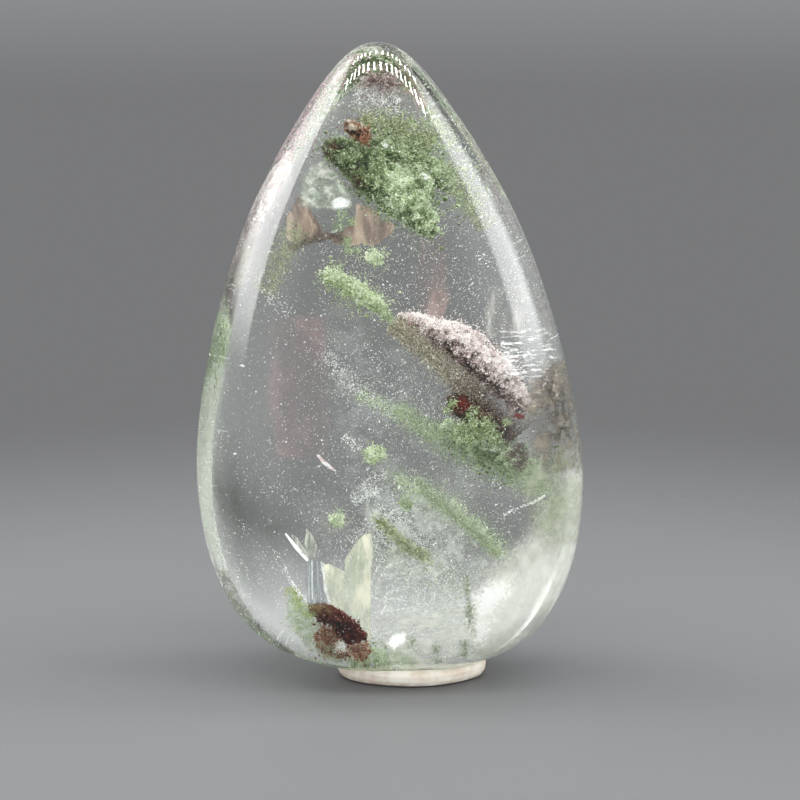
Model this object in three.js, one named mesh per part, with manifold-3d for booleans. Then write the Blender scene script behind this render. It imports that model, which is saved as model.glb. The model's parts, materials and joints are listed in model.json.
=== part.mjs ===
// A polished drop of clear quartz with mineral growths sealed inside it: green chlorite, pinkish clay
// and dark iron oxide, laid down on the faces of the younger crystal, and a thin pink film on an old healed
// crack. It stands on a pressed pad of white putty. Millimetres, +Z up. The origin is on the table, under the
// middle of the drop's box, and the side that shows best faces -Y. The quartz is one stone: it is parted in a
// front and a back piece along a curved sheet through the growths, so that each growth lies in a pocket.
import * as THREE from "three";
import { mergeVertices } from "three/addons/utils/BufferGeometryUtils.js";
import Module from "manifold-3d";

// The drop's outline: where it starts and ends, its half-width at five heights, and how round its ends are.
const FOOT_HEIGHT = 0.6;
const TIP_HEIGHT = 59.8;
const HALF_WIDTHS = [
  [5, 13.9],
  [14, 17.7],
  [26, 17.55],
  [39, 14.3],
  [51, 8.6],
];
const TIP_RADIUS = 3.5;
const FOOT_RADIUS = 37;
// It leans: the middle of its width is here at the table, and moves this far for each millimetre up.
const MIDDLE_AT_TABLE = 0.55;
const LEAN = -0.0285;
// Its thickness as a share of its width, low down, and what the tip adds to that.
const THICKNESS_SHARE = 0.61;
const TIP_THICKNESS_GAIN = 0.24;
// 1 gives an elliptic cross-section, and less gives flatter faces with rounder edges.
const ROUNDNESS = 0.55;
const DROP_RINGS = 22;
const DROP_SIDES = 32;

// Clearances between the pieces.
const PART_GAP = 0.45;
const POCKET_GAP = 0.5;
const SEAT_GAP = 0.3;
const POCKET_SIDES = 9;

// The pad of putty, in plan an oval, with a lip pressed up round the stone.
const PAD_MIDDLE_X = 1.9;
const PAD_HALF_WIDTH = 7.0;
const PAD_HALF_DEPTH = 5.3;
const PAD_HEIGHT = 1.75;
const PAD_SIDES = 22;
// Its outline goes out and in: how many times round, how far as a share of its width, and from which turn.
const PAD_WAVES = [
  [3, 0.018, 0.6],
  [5, 0.012, 2],
];
const LIP_WAVE = [2, 0.12, 1.1];
// Its side from the middle of the foot to the middle of the top, as shares of its width and height.
const PAD_PROFILE = [
  [0, 0],
  [0.92, 0],
  [1, 0.3],
  [1.01, 0.62],
  [0.93, 0.92],
  [0.8, 1],
  [0, 1],
];

// The curved sheet that parts the stone, as a grid of squares this wide. Away from the growths it settles
// into the middle of the stone, and close to one it runs through that growth's own depth.
const PART_STEP = 3;
const PART_MARGIN = 3;
const PART_HALF_WIDTH = 21;
const PART_REACH = 16;
const SETTLE_WEIGHT = 0.004;
const NEAR_SOFTNESS = 0.3;

const QUARTZ = { color: 0xe6ece4, roughness: 0.03, metalness: 0, transparent: true, opacity: 0.3 };
const CHLORITE = { color: 0x6f8a58, roughness: 0.85, metalness: 0 };
const PALE_CHLORITE = { color: 0x98b07c, roughness: 0.85, metalness: 0 };
const CLAY = { color: 0xb39a90, roughness: 0.9, metalness: 0 };
const IRON = { color: 0x4a2823, roughness: 0.8, metalness: 0 };
const RUST = { color: 0x96593c, roughness: 0.85, metalness: 0 };
const STAIN = { color: 0xa58a8e, roughness: 0.6, metalness: 0, transparent: true, opacity: 0.4 };
const PUTTY = { color: 0xe4ddd0, roughness: 0.6, metalness: 0 };

// Each growth is made of knobbly strings: x, y, z and radius at stations along each. flat squeezes a string
// from above, deep draws it out from front to back, and rough is how far its skin goes in and out. Its rings
// are RING_SPACING apart unless it has a spacing of its own.
const RING_SPACING = 1.1;
const GROWTHS = [
  {
    name: "upper_chlorite_mass",
    finish: CHLORITE,
    seed: 11,
    sides: 10,
    flat: 0.95,
    deep: 1.15,
    rough: 0.17,
    strings: [
      [
        [-4.6, 0.8, 49.2, 0.95],
        [-3.7, 0.7, 48.8, 1.35],
        [-2.4, 0.4, 48.0, 1.85],
        [-1.0, 0.0, 46.8, 2.05],
        [0.5, -0.5, 45.6, 1.95],
        [1.7, -0.9, 44.3, 1.5],
        [2.7, -1.2, 43.2, 1.15],
        [3.4, -1.4, 42.3, 0.75],
      ],
      [
        [-2.2, 0.9, 48.6, 1.1],
        [-0.9, 1.2, 49.2, 1.15],
        [0.6, 1.3, 48.8, 1.15],
        [1.9, 1.3, 48.0, 1.05],
        [3.1, 1.3, 46.9, 0.95],
        [4.3, 1.4, 45.7, 0.65],
      ],
      [
        [1.7, 0.5, 47.2, 0.75],
        [2.6, 0.2, 45.8, 0.95],
        [2.3, -0.1, 44.5, 0.85],
      ],
    ],
  },
  {
    name: "ochre_nodule",
    finish: RUST,
    seed: 23,
    sides: 7,
    flat: 0.9,
    deep: 1,
    rough: 0.2,
    strings: [
      [
        [-3.5, -2.6, 52.1, 0.5],
        [-2.9, -2.6, 51.6, 0.8],
        [-2.2, -2.6, 50.9, 0.6],
      ],
    ],
  },
  {
    name: "tip_clay_patch",
    finish: CLAY,
    seed: 31,
    sides: 8,
    flat: 0.65,
    deep: 1.3,
    rough: 0.18,
    strings: [
      [
        [-2.2, 0.6, 55.5, 0.65],
        [-0.9, 0.6, 55.6, 0.9],
        [0.4, 0.6, 55.1, 0.65],
      ],
    ],
  },
  {
    name: "left_chlorite_ledge",
    finish: PALE_CHLORITE,
    seed: 41,
    sides: 8,
    flat: 0.75,
    deep: 1.4,
    rough: 0.2,
    strings: [
      [
        [-5.4, -1.2, 38.3, 0.6],
        [-4.2, -1.1, 37.7, 0.9],
        [-2.7, -1.0, 36.7, 0.95],
        [-1.4, -0.8, 35.7, 0.7],
        [-0.4, -0.7, 34.8, 0.4],
      ],
    ],
  },
  {
    name: "clay_ledge",
    finish: CLAY,
    seed: 53,
    sides: 9,
    flat: 0.75,
    deep: 1.35,
    rough: 0.16,
    strings: [
      [
        [1.0, 0.2, 34.2, 0.6],
        [2.7, 0.3, 33.5, 1.2],
        [4.7, 0.4, 32.5, 1.65],
        [6.2, 0.5, 31.4, 1.85],
        [7.3, 0.5, 30.3, 1.85],
        [8.6, 0.4, 28.8, 1.6],
        [9.6, 0.3, 27.2, 1.25],
        [10.5, 0.2, 25.8, 0.75],
      ],
    ],
  },
  {
    name: "iron_patch",
    finish: IRON,
    seed: 61,
    sides: 8,
    flat: 0.9,
    deep: 1,
    rough: 0.2,
    strings: [
      [
        [5.3, -2.6, 27.1, 0.6],
        [6.5, -2.6, 26.3, 0.95],
        [7.7, -2.6, 25.4, 0.95],
        [8.9, -2.5, 24.5, 0.8],
        [9.9, -2.5, 23.7, 0.6],
      ],
    ],
  },
  {
    name: "lower_chlorite_shelf",
    finish: CHLORITE,
    seed: 71,
    sides: 9,
    flat: 0.85,
    deep: 1.35,
    rough: 0.2,
    strings: [
      [
        [4.9, 0.9, 24.1, 0.7],
        [6.0, 0.9, 23.5, 1.15],
        [7.1, 0.9, 22.9, 1.35],
        [8.2, 1.0, 22.2, 1.3],
        [9.3, 1.0, 21.4, 1.15],
        [10.4, 1.0, 20.3, 0.9],
        [11.4, 1.0, 19.2, 0.6],
      ],
    ],
  },
  {
    name: "chlorite_tuft_upper",
    finish: PALE_CHLORITE,
    seed: 83,
    sides: 8,
    flat: 1,
    deep: 1,
    rough: 0.25,
    strings: [
      [
        [-1.6, -2.4, 40.2, 0.6],
        [-1.1, -2.4, 39.8, 0.65],
      ],
    ],
  },
  {
    name: "chlorite_tuft_middle",
    finish: PALE_CHLORITE,
    seed: 89,
    sides: 7,
    flat: 0.95,
    deep: 1,
    rough: 0.25,
    strings: [
      [
        [-1.9, -4.2, 22.5, 0.6],
        [-1.3, -4.2, 22.3, 0.8],
        [-0.7, -4.2, 22.1, 0.6],
      ],
    ],
  },
  {
    name: "chlorite_tuft_lower",
    finish: PALE_CHLORITE,
    seed: 97,
    sides: 7,
    flat: 0.9,
    deep: 1,
    rough: 0.25,
    strings: [
      [
        [-4.9, -3.2, 16.4, 0.5],
        [-4.3, -3.2, 16.1, 0.55],
      ],
    ],
  },
  {
    name: "long_chlorite_streak",
    finish: PALE_CHLORITE,
    seed: 103,
    sides: 6,
    flat: 0.8,
    deep: 1.2,
    rough: 0.2,
    strings: [
      [
        [0.7, -3.2, 19.9, 0.5],
        [2.2, -3.2, 19.1, 0.9],
        [4.2, -3.2, 18.1, 0.9],
        [6.1, -3.2, 16.7, 0.9],
        [8.3, -3.2, 14.8, 0.75],
        [10.0, -3.2, 12.8, 0.5],
      ],
    ],
  },
  {
    name: "short_chlorite_streak",
    finish: CHLORITE,
    seed: 109,
    sides: 7,
    flat: 0.85,
    deep: 1,
    rough: 0.2,
    strings: [
      [
        [-1.3, -1.0, 16.3, 0.4],
        [-0.3, -1.0, 15.4, 0.5],
        [0.9, -1.0, 14.3, 0.5],
        [2.2, -1.0, 13.2, 0.65],
        [3.4, -1.0, 12.4, 0.4],
      ],
    ],
  },
  {
    name: "base_iron_clump",
    finish: IRON,
    seed: 113,
    sides: 9,
    flat: 0.95,
    deep: 1,
    rough: 0.2,
    strings: [
      [
        [-6.6, -4.0, 8.4, 0.6],
        [-5.6, -4.0, 7.8, 0.9],
        [-4.6, -4.0, 7.1, 0.95],
        [-3.5, -4.0, 6.3, 0.9],
        [-2.6, -4.0, 5.8, 0.6],
      ],
    ],
  },
  {
    name: "base_rust_clump",
    finish: RUST,
    seed: 127,
    sides: 7,
    flat: 0.9,
    deep: 1,
    rough: 0.22,
    strings: [
      [
        [-6.0, -1.9, 5.7, 0.7],
        [-5.1, -1.9, 5.2, 0.8],
        [-3.8, -1.9, 4.8, 0.45],
        [-2.6, -1.9, 4.9, 0.65],
        [-1.8, -1.9, 4.7, 0.5],
      ],
    ],
  },
  {
    name: "base_chlorite_patch",
    finish: CHLORITE,
    seed: 131,
    sides: 8,
    flat: 0.6,
    deep: 1.4,
    rough: 0.18,
    strings: [
      [
        [-2.8, 1.2, 4.8, 0.7],
        [-1.2, 1.2, 4.6, 0.95],
        [0.5, 1.2, 4.4, 1.0],
        [1.9, 1.2, 4.4, 0.7],
      ],
    ],
  },
  {
    name: "pink_stain_film",
    finish: STAIN,
    seed: 137,
    sides: 8,
    spacing: 2.6,
    flat: 1,
    deep: 0.17,
    rough: 0.08,
    strings: [
      [
        [-7.1, 1.1, 33.0, 1.5],
        [-7.3, 1.0, 30.6, 2.1],
        [-7.4, 0.9, 27.6, 2.35],
        [-7.6, 0.8, 24.6, 2.1],
        [-7.8, 0.7, 22.2, 1.4],
      ],
    ],
  },
];
// How far a string's pointed ends stand out past its last stations, as a share of their radius.
const END_REACH = 0.85;

const DEPTH = new THREE.Vector3(0, 1, 0);

const wasm = await Module();
wasm.setup();

// Repeatable numbers from 0 to 1.
function randomFrom(seed) {
  let state = seed;
  return () => {
    state = (state * 1664525 + 1013904223) % 4294967296;
    return state / 4294967296;
  };
}

// A closed three.js geometry as a solid.
function solidFrom(geometry) {
  const bare = geometry.clone();
  bare.deleteAttribute("normal");
  bare.deleteAttribute("uv");
  const merged = mergeVertices(bare, 1e-4);
  return new wasm.Manifold(
    new wasm.Mesh({
      numProp: 3,
      vertProperties: new Float32Array(merged.attributes.position.array),
      triVerts: new Uint32Array(merged.index.array),
    }),
  );
}

// A solid as a three.js geometry, flat shaded.
function geometryFrom(solid) {
  const { numProp, numVert, vertProperties, triVerts } = solid.getMesh();
  const positions = new Float32Array(numVert * 3);
  for (let i = 0; i < numVert; i++) {
    positions.set(vertProperties.subarray(i * numProp, i * numProp + 3), i * 3);
  }
  const indexed = new THREE.BufferGeometry();
  indexed.setAttribute("position", new THREE.BufferAttribute(positions, 3));
  indexed.setIndex(new THREE.BufferAttribute(new Uint32Array(triVerts), 1));
  const geometry = indexed.toNonIndexed();
  geometry.computeVertexNormals();
  return geometry;
}

// A closed surface of rings between two poles. pointAt takes a ring's share from the bottom to the top pole
// and a side's share of the way round, which runs from +X to +Y.
function ringedSurface(rings, sides, pointAt) {
  const positions = [...pointAt(0, 0)];
  for (let ring = 1; ring < rings; ring++) {
    for (let side = 0; side < sides; side++) {
      positions.push(...pointAt(ring / rings, side / sides));
    }
  }
  positions.push(...pointAt(1, 0));
  const top = positions.length / 3 - 1;
  const at = (ring, side) => 1 + (ring - 1) * sides + (side % sides);
  const faces = [];
  for (let side = 0; side < sides; side++) {
    faces.push(0, at(1, side + 1), at(1, side));
    for (let ring = 1; ring < rings - 1; ring++) {
      faces.push(at(ring, side), at(ring, side + 1), at(ring + 1, side + 1));
      faces.push(at(ring, side), at(ring + 1, side + 1), at(ring + 1, side));
    }
    faces.push(at(rings - 1, side), at(rings - 1, side + 1), top);
  }
  const geometry = new THREE.BufferGeometry();
  geometry.setAttribute("position", new THREE.BufferAttribute(new Float32Array(positions), 3));
  geometry.setIndex(faces);
  return geometry;
}

// The drop's half-width at a share of its height is a polynomial times the half-circle's own curve, so both
// ends are round. The polynomial goes through the driving half-widths and the two end radii.
const DROP_HEIGHT = TIP_HEIGHT - FOOT_HEIGHT;
const WIDTH_KNOTS = [
  [0, Math.sqrt(2 * FOOT_RADIUS * DROP_HEIGHT)],
  ...HALF_WIDTHS.map(([height, half]) => {
    const share = (height - FOOT_HEIGHT) / DROP_HEIGHT;
    return [share, half / Math.sqrt(share * (1 - share))];
  }),
  [1, Math.sqrt(2 * TIP_RADIUS * DROP_HEIGHT)],
];

function widthFactor(share) {
  return WIDTH_KNOTS.reduce((sum, [at, value], i) => {
    const others = WIDTH_KNOTS.filter((knot, j) => j !== i);
    return sum + others.reduce((product, [other]) => (product * (share - other)) / (at - other), value);
  }, 0);
}

// The drop's surface, swollen on all sides by grow.
function dropSolid(grow = 0) {
  const pointAt = (ringShare, sideShare) => {
    const rise = ringShare * Math.PI;
    const share = (1 - Math.cos(rise)) / 2;
    const swell = grow * Math.sin(rise);
    const halfWidth = (Math.sin(rise) / 2) * widthFactor(share) + swell;
    const halfDepth = (halfWidth - swell) * (THICKNESS_SHARE + TIP_THICKNESS_GAIN * share ** 3) + swell;
    const turn = sideShare * 2 * Math.PI;
    const across = Math.cos(turn);
    const flatten = Math.sqrt(1 + (1 - ROUNDNESS) * across * across);
    const z = FOOT_HEIGHT + share * DROP_HEIGHT - grow * Math.cos(rise);
    return [MIDDLE_AT_TABLE + LEAN * z + halfWidth * across, halfDepth * Math.sin(turn) * flatten, z];
  };
  return solidFrom(ringedSurface(DROP_RINGS, DROP_SIDES, pointAt));
}

// One string of a growth: rings round a smooth curve through its stations, with a point at each end.
// swell moves its skin out on all sides and rough makes the skin uneven.
function stringSolid(stations, { flat, deep, sides, spacing = RING_SPACING }, rough, swell, random) {
  const curve = new THREE.CatmullRomCurve3(stations.map(([x, y, z]) => new THREE.Vector3(x, y, z)));
  const inner = Math.max(3, Math.round(curve.getLength() / spacing) + 1);
  const pointAt = (ringShare, sideShare) => {
    const ring = Math.round(ringShare * (inner + 1)) - 1;
    const share = Math.min(1, Math.max(0, ring / (inner - 1)));
    const station = Math.min(stations.length - 2, Math.floor(share * (stations.length - 1)));
    const past = share * (stations.length - 1) - station;
    const radius = stations[station][3] * (1 - past) + stations[station + 1][3] * past;
    const centre = curve.getPoint(share);
    const along = curve.getTangent(share);
    const end = ring < 0 ? -1 : ring === inner ? 1 : 0;
    if (end) return centre.addScaledVector(along, end * (radius * END_REACH + swell)).toArray();
    const above = new THREE.Vector3().crossVectors(along, DEPTH).normalize();
    const turn = sideShare * 2 * Math.PI;
    const uneven = rough ? 1 + rough * (2 * random() - 1) : 1;
    centre.addScaledVector(DEPTH, Math.cos(turn) * (radius * deep * uneven + swell));
    centre.addScaledVector(above, Math.sin(turn) * (radius * flat * uneven + swell));
    return centre.toArray();
  };
  return solidFrom(ringedSurface(inner + 1, sides, pointAt));
}

function growthSolid(growth) {
  const random = randomFrom(growth.seed);
  const solids = growth.strings.map((stations) => stringSolid(stations, growth, growth.rough, 0, random));
  return solids.reduce((all, solid) => all.add(solid));
}

// The space that a growth fills in the quartz, with its clearance.
function pocketSolid(growth) {
  const form = { ...growth, sides: POCKET_SIDES };
  const solids = growth.strings.map((stations) => {
    const thick = stations.map(([x, y, z, radius]) => [x, y, z, radius * (1 + growth.rough)]);
    return stringSolid(thick, form, 0, POCKET_GAP, null);
  });
  return solids.reduce((all, solid) => all.add(solid));
}

// How deep the parting sheet lies at a place in the front view: there it passes through the growths nearby.
const ANCHORS = GROWTHS.flatMap((growth) => growth.strings.flat());

function partingDepth(x, z) {
  let sum = 0;
  let weights = SETTLE_WEIGHT;
  for (const [anchorX, anchorY, anchorZ] of ANCHORS) {
    const weight = 1 / ((x - anchorX) ** 2 + (z - anchorZ) ** 2 + NEAR_SOFTNESS) ** 2;
    sum += weight * anchorY;
    weights += weight;
  }
  return sum / weights;
}

// Everything in front of the parting sheet, with the sheet moved back by shift.
function frontBlock(shift) {
  const columns = Math.ceil((2 * PART_HALF_WIDTH) / PART_STEP);
  const rows = Math.ceil((TIP_HEIGHT + 2 * PART_MARGIN) / PART_STEP);
  const positions = [];
  for (const sheet of [true, false]) {
    for (let row = 0; row <= rows; row++) {
      for (let column = 0; column <= columns; column++) {
        const x = column * PART_STEP - PART_HALF_WIDTH;
        const z = row * PART_STEP - PART_MARGIN;
        positions.push(x, sheet ? partingDepth(x, z) + shift : -PART_REACH, z);
      }
    }
  }
  const layer = (rows + 1) * (columns + 1);
  const at = (sheet, row, column) => (sheet ? 0 : layer) + row * (columns + 1) + column;
  const last = columns;
  const faces = [];
  const quad = (a, b, c, d) => faces.push(a, b, c, a, c, d);
  for (let row = 0; row < rows; row++) {
    for (let column = 0; column < columns; column++) {
      for (const sheet of [true, false]) {
        const corners = [
          at(sheet, row, column),
          at(sheet, row + 1, column),
          at(sheet, row + 1, column + 1),
          at(sheet, row, column + 1),
        ];
        quad(...(sheet ? corners : corners.reverse()));
      }
    }
    const above = row + 1;
    quad(at(false, row, 0), at(false, above, 0), at(true, above, 0), at(true, row, 0));
    quad(at(true, row, last), at(true, above, last), at(false, above, last), at(false, row, last));
  }
  for (let column = 0; column < columns; column++) {
    const right = column + 1;
    quad(at(true, 0, column), at(true, 0, right), at(false, 0, right), at(false, 0, column));
    quad(at(false, rows, column), at(false, rows, right), at(true, rows, right), at(true, rows, column));
  }
  const geometry = new THREE.BufferGeometry();
  geometry.setAttribute("position", new THREE.BufferAttribute(new Float32Array(positions), 3));
  geometry.setIndex(faces);
  return solidFrom(geometry);
}

// The pad: flat below, bulged at its side and uneven in plan, pressed hollow by the stone.
function padSolid() {
  const wave = ([times, size, from], turn) => size * Math.sin(times * turn + from);
  const pointAt = (ringShare, sideShare) => {
    const [out, up] = PAD_PROFILE[Math.round(ringShare * (PAD_PROFILE.length - 1))];
    const turn = sideShare * 2 * Math.PI;
    const uneven = PAD_WAVES.reduce((sum, each) => sum + wave(each, turn), 1);
    const lip = PAD_HEIGHT + wave(LIP_WAVE, turn);
    return [
      PAD_MIDDLE_X + out * uneven * PAD_HALF_WIDTH * Math.cos(turn),
      out * uneven * PAD_HALF_DEPTH * Math.sin(turn),
      up * (out > 0 ? lip : PAD_HEIGHT),
    ];
  };
  const lump = solidFrom(ringedSurface(PAD_PROFILE.length - 1, PAD_SIDES, pointAt));
  return lump.subtract(dropSolid(SEAT_GAP));
}

function addPiece(group, name, solid, finish) {
  const piece = new THREE.Mesh(geometryFrom(solid), new THREE.MeshStandardMaterial(finish));
  piece.name = name;
  group.add(piece);
}

const specimen = new THREE.Group();
const drop = dropSolid();
const growthSolids = GROWTHS.map(growthSolid);
const pockets = GROWTHS.map(pocketSolid).reduce((all, pocket) => all.add(pocket));

addPiece(specimen, "quartz_front", drop.intersect(frontBlock(0)).subtract(pockets), QUARTZ);
addPiece(specimen, "quartz_back", drop.subtract(frontBlock(PART_GAP)).subtract(pockets), QUARTZ);
GROWTHS.forEach((growth, i) => addPiece(specimen, growth.name, growthSolids[i], growth.finish));
addPiece(specimen, "putty_pad", padSolid(), PUTTY);

export default specimen;
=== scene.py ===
import math

import bmesh
import bpy
import numpy as np
from mathutils import Matrix, Vector, noise
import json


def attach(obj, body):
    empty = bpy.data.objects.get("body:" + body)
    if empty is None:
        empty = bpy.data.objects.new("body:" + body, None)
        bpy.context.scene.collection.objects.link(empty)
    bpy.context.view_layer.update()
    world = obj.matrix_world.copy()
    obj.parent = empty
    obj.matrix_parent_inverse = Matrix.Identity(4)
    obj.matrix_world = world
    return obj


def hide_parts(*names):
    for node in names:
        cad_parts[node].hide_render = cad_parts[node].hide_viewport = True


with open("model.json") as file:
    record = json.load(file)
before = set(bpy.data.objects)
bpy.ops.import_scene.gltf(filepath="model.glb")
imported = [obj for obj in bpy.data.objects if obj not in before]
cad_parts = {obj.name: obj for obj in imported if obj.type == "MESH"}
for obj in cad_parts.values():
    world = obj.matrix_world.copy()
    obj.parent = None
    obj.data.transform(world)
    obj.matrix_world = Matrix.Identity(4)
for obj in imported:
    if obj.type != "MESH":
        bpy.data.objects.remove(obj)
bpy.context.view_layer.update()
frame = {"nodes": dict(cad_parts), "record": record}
slotOf = {part["node"]: part["material_slot"] for part in frame["record"]["subparts"]}
mm = 0.001
print("frame loaded,", len(frame["nodes"]), "nodes")


# shader maths: a Val is a socket's value, and an expression on values adds its Math nodes
class Val:
    def __init__(self, shader, socket):
        self.shader, self.socket = shader, socket

    def maths(self, operation, first, second):
        return self.shader.add("Math", {"operation": operation}, {0: first, 1: second})

    def __add__(self, other):
        return self.maths("ADD", self, other)

    def __radd__(self, other):
        return self.maths("ADD", other, self)

    def __sub__(self, other):
        return self.maths("SUBTRACT", self, other)

    def __rsub__(self, other):
        return self.maths("SUBTRACT", other, self)

    def __mul__(self, other):
        return self.maths("MULTIPLY", self, other)

    def __rmul__(self, other):
        return self.maths("MULTIPLY", other, self)

    def above(self, low, high):  # 0 at low, 1 at high, smooth between
        smooth = {"interpolation_type": "SMOOTHSTEP"}
        return self.shader.add("MapRange", smooth, {0: self, 1: low, 2: high})


class Shader:
    def __init__(self, tree):
        self.tree = tree
        tree.nodes.clear()

    def add(self, kind, settings=None, sockets=None, output=0):
        node = self.tree.nodes.new("ShaderNode" + kind)
        for key, value in (settings or {}).items():
            if key == "stops":
                ramp = node.color_ramp
                while len(ramp.elements) < len(value):
                    ramp.elements.new(0.5)
                for element, (place, colour) in zip(ramp.elements, value):
                    element.position, element.color = place, (*colour, 1)
            else:
                setattr(node, key, value)
        for key, value in (sockets or {}).items():
            if isinstance(value, Val):
                self.tree.links.new(value.socket, node.inputs[key])
            elif isinstance(value, tuple) and len(value) == 3 and node.inputs[key].type == "RGBA":
                node.inputs[key].default_value = (*value, 1)
            else:
                node.inputs[key].default_value = value
        return Val(self, node.outputs[output]) if node.outputs else None

    def blend(self, factor, first, second):
        return self.add("Mix", {"data_type": "RGBA"}, {0: factor, 6: first, 7: second}, 2)

    def axis(self, value, number):  # one of the three numbers of a place or a way
        return self.add("SeparateXYZ", {}, {0: value}, number)

    def place(self):  # where a point is on the specimen, in metres
        return self.add("TexCoord", output=3)

    def written(self, name):  # what the mesh holds for each point under this name
        return self.add("Attribute", {"attribute_name": name}, {}, 2)

    def grain(self, size, detail=3.0, rough=0.55, stretch=(1, 1, 1)):  # noise this wide, in mm
        where = self.add("Mapping", {}, {0: self.place(), 3: stretch})
        values = {0: where, "Scale": 1 / (size * mm), "Detail": detail, "Roughness": rough}
        return self.add("TexNoise", {}, values)

    def bump(self, height, strength, distance):  # this high in mm
        return self.add("Bump", {}, {"Strength": strength, "Distance": distance * mm, "Height": height})

    def surface(self, closure, volume=None):
        self.add("OutputMaterial", {}, {0: closure, 1: volume} if volume else {0: closure})


def newMaterial(name):
    material = bpy.data.materials.new(name)
    material.use_nodes = True
    return material, Shader(material.node_tree)


def paint(red, green, blue):  # a screen colour from 0 to 255, as the shaders want it
    return tuple(((c / 255 + 0.055) / 1.055) ** 2.4 for c in (red, green, blue))


# meshes from arrays: points in mm, triangles, and numbers written for each point
def newPiece(name, points, faces, material, smooth, written=None):
    faces = np.asarray(faces, np.int32)
    mesh = bpy.data.meshes.new(name)
    mesh.vertices.add(len(points))
    mesh.vertices.foreach_set("co", (np.asarray(points) * mm).astype(np.float32).ravel())
    mesh.loops.add(faces.size)
    mesh.loops.foreach_set("vertex_index", faces.ravel())
    mesh.polygons.add(len(faces))
    mesh.polygons.foreach_set("loop_start", np.arange(0, faces.size, 3, dtype=np.int32))
    mesh.polygons.foreach_set("use_smooth", np.broadcast_to(smooth, len(faces)).astype(bool))
    mesh.update(calc_edges=True)
    for key, values in (written or {}).items():
        layer = mesh.attributes.new(key, "FLOAT", "POINT")
        layer.data.foreach_set("value", np.asarray(values, np.float32))
    mesh.materials.append(material)
    piece = bpy.data.objects.new(name, mesh)
    bpy.context.scene.collection.objects.link(piece)
    return piece


faceCount = []


def finishPiece(piece, slot, *replaced):
    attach(piece, "root")
    if replaced:
        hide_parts(*replaced)
    faceCount.append(len(piece.data.polygons))
    print("made", piece.name, faceCount[-1], "faces")


# camera first: where the photograph was taken from
view = {
    "distance": 300.0,
    "elevation": 10.0,
    "target": (0.96, 0, 26.39),
    "width": 74.96,  # what the picture takes in at the target, in mm
    "sensor": 36,
    "clip": (0.01, 10),
}


def makeCamera():
    lens = bpy.data.cameras.new("camera")
    lens.sensor_width = view["sensor"]
    lens.lens = lens.sensor_width * view["distance"] / view["width"]
    lens.clip_start, lens.clip_end = view["clip"]
    camera = bpy.data.objects.new("camera", lens)
    tilt = math.radians(view["elevation"])
    back = Vector((0, -math.cos(tilt), math.sin(tilt)))
    camera.location = (Vector(view["target"]) + back * view["distance"]) * mm
    camera.rotation_euler = (-back).to_track_quat("-Z", "Y").to_euler()
    bpy.context.scene.collection.objects.link(camera)
    bpy.context.scene.camera = camera


makeCamera()
bpy.context.scene.view_settings.view_transform = "Standard"

# studio: a pale round floor that fades out, tall soft boxes at the sides, rows of small ceiling lamps
# and a dim room
studio = {
    "floorSize": 400.0,
    "floorLevel": -0.05,
    "floorFade": (48.0, 150.0),
    "floorColour": (0.098, 0.1, 0.103),
    "floorRough": 0.6,
    # soft boxes: turn from the back, distance, width, lowest and highest edge, brightness, the soft shares
    # of their width, and whether the stone mirrors them; boxEnds are the soft shares of their height
    "boxEnds": (0.12, 0.3),
    "boxes": [
        {"name": "boxLeft", "turn": -70, "away": 300, "wide": 400, "heights": (42, 480), "bright": 6.5,
         "soft": (0.07, 0.55), "mirrored": True},
        {"name": "boxRight", "turn": 85, "away": 300, "wide": 280, "heights": (42, 430), "bright": 6.0,
         "soft": (0.2, 0.35), "mirrored": True},
        {"name": "boxBack", "turn": -26, "away": 300, "wide": 300, "heights": (12, 140), "bright": 0.5,
         "soft": (0.5, 0.5), "mirrored": False},
        {"name": "boxSide", "turn": 125, "away": 300, "wide": 34, "heights": (60, 560), "bright": 10.0,
         "soft": (0.2, 0.2), "mirrored": False},
        {"name": "boxFront", "turn": 180, "away": 300, "wide": 560, "heights": (10, 520), "bright": 2.3,
         "soft": (0.3, 0.3), "mirrored": False},
    ],
    # ceiling rows this high over what they aim at; across and forward are shares of that height
    "lampHeight": 330.0,
    "lampAim": 56,
    "rows": [
        {"lamps": 16, "across": (-0.72, 0.92), "forward": 0.36, "size": (12, 66), "bright": 34.0},
        {"lamps": 14, "across": (-0.6, 0.9), "forward": -0.1, "size": (12, 60), "bright": 30.0},
    ],
    # the room: brightness from its floor to its ceiling at the back, and at the front and the sides
    "roomBack": [
        (0.0, 0.19), (0.462, 0.19), (0.5, 0.39), (0.57, 0.65), (0.7, 0.62), (0.85, 0.38), (1.0, 0.43),
    ],
    "roomFront": 0.3,
    "roomSides": 1.15,
    "roomSideways": (0.5, 0.8),
    "roomForward": (-0.25, 0.6),
    "roomRise": (-0.6, 0.0),
    "roomTint": (1.0, 1.01, 1.03),
    "roomCorner": {"right": (0.2, 0.6), "height": (0.1, 0.3), "darker": 0.42},
}


def makeFloor():
    material, shader = newMaterial("paleFloor")
    far = shader.add("VectorMath", {"operation": "LENGTH"}, {0: shader.place()}, 1)
    fade = far.above(studio["floorFade"][0] * mm, studio["floorFade"][1] * mm)
    looks = {"Base Color": studio["floorColour"], "Roughness": studio["floorRough"]}
    felt = shader.add("BsdfPrincipled", {}, looks)
    clear = shader.add("BsdfTransparent")
    shader.surface(shader.add("MixShader", {}, {0: fade, 1: felt, 2: clear}))
    half, level = studio["floorSize"], studio["floorLevel"]
    corners = [(-half, -half, level), (half, -half, level), (half, half, level), (-half, half, level)]
    newPiece("floor", corners, [(0, 1, 2), (0, 2, 3)], material, False)


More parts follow.
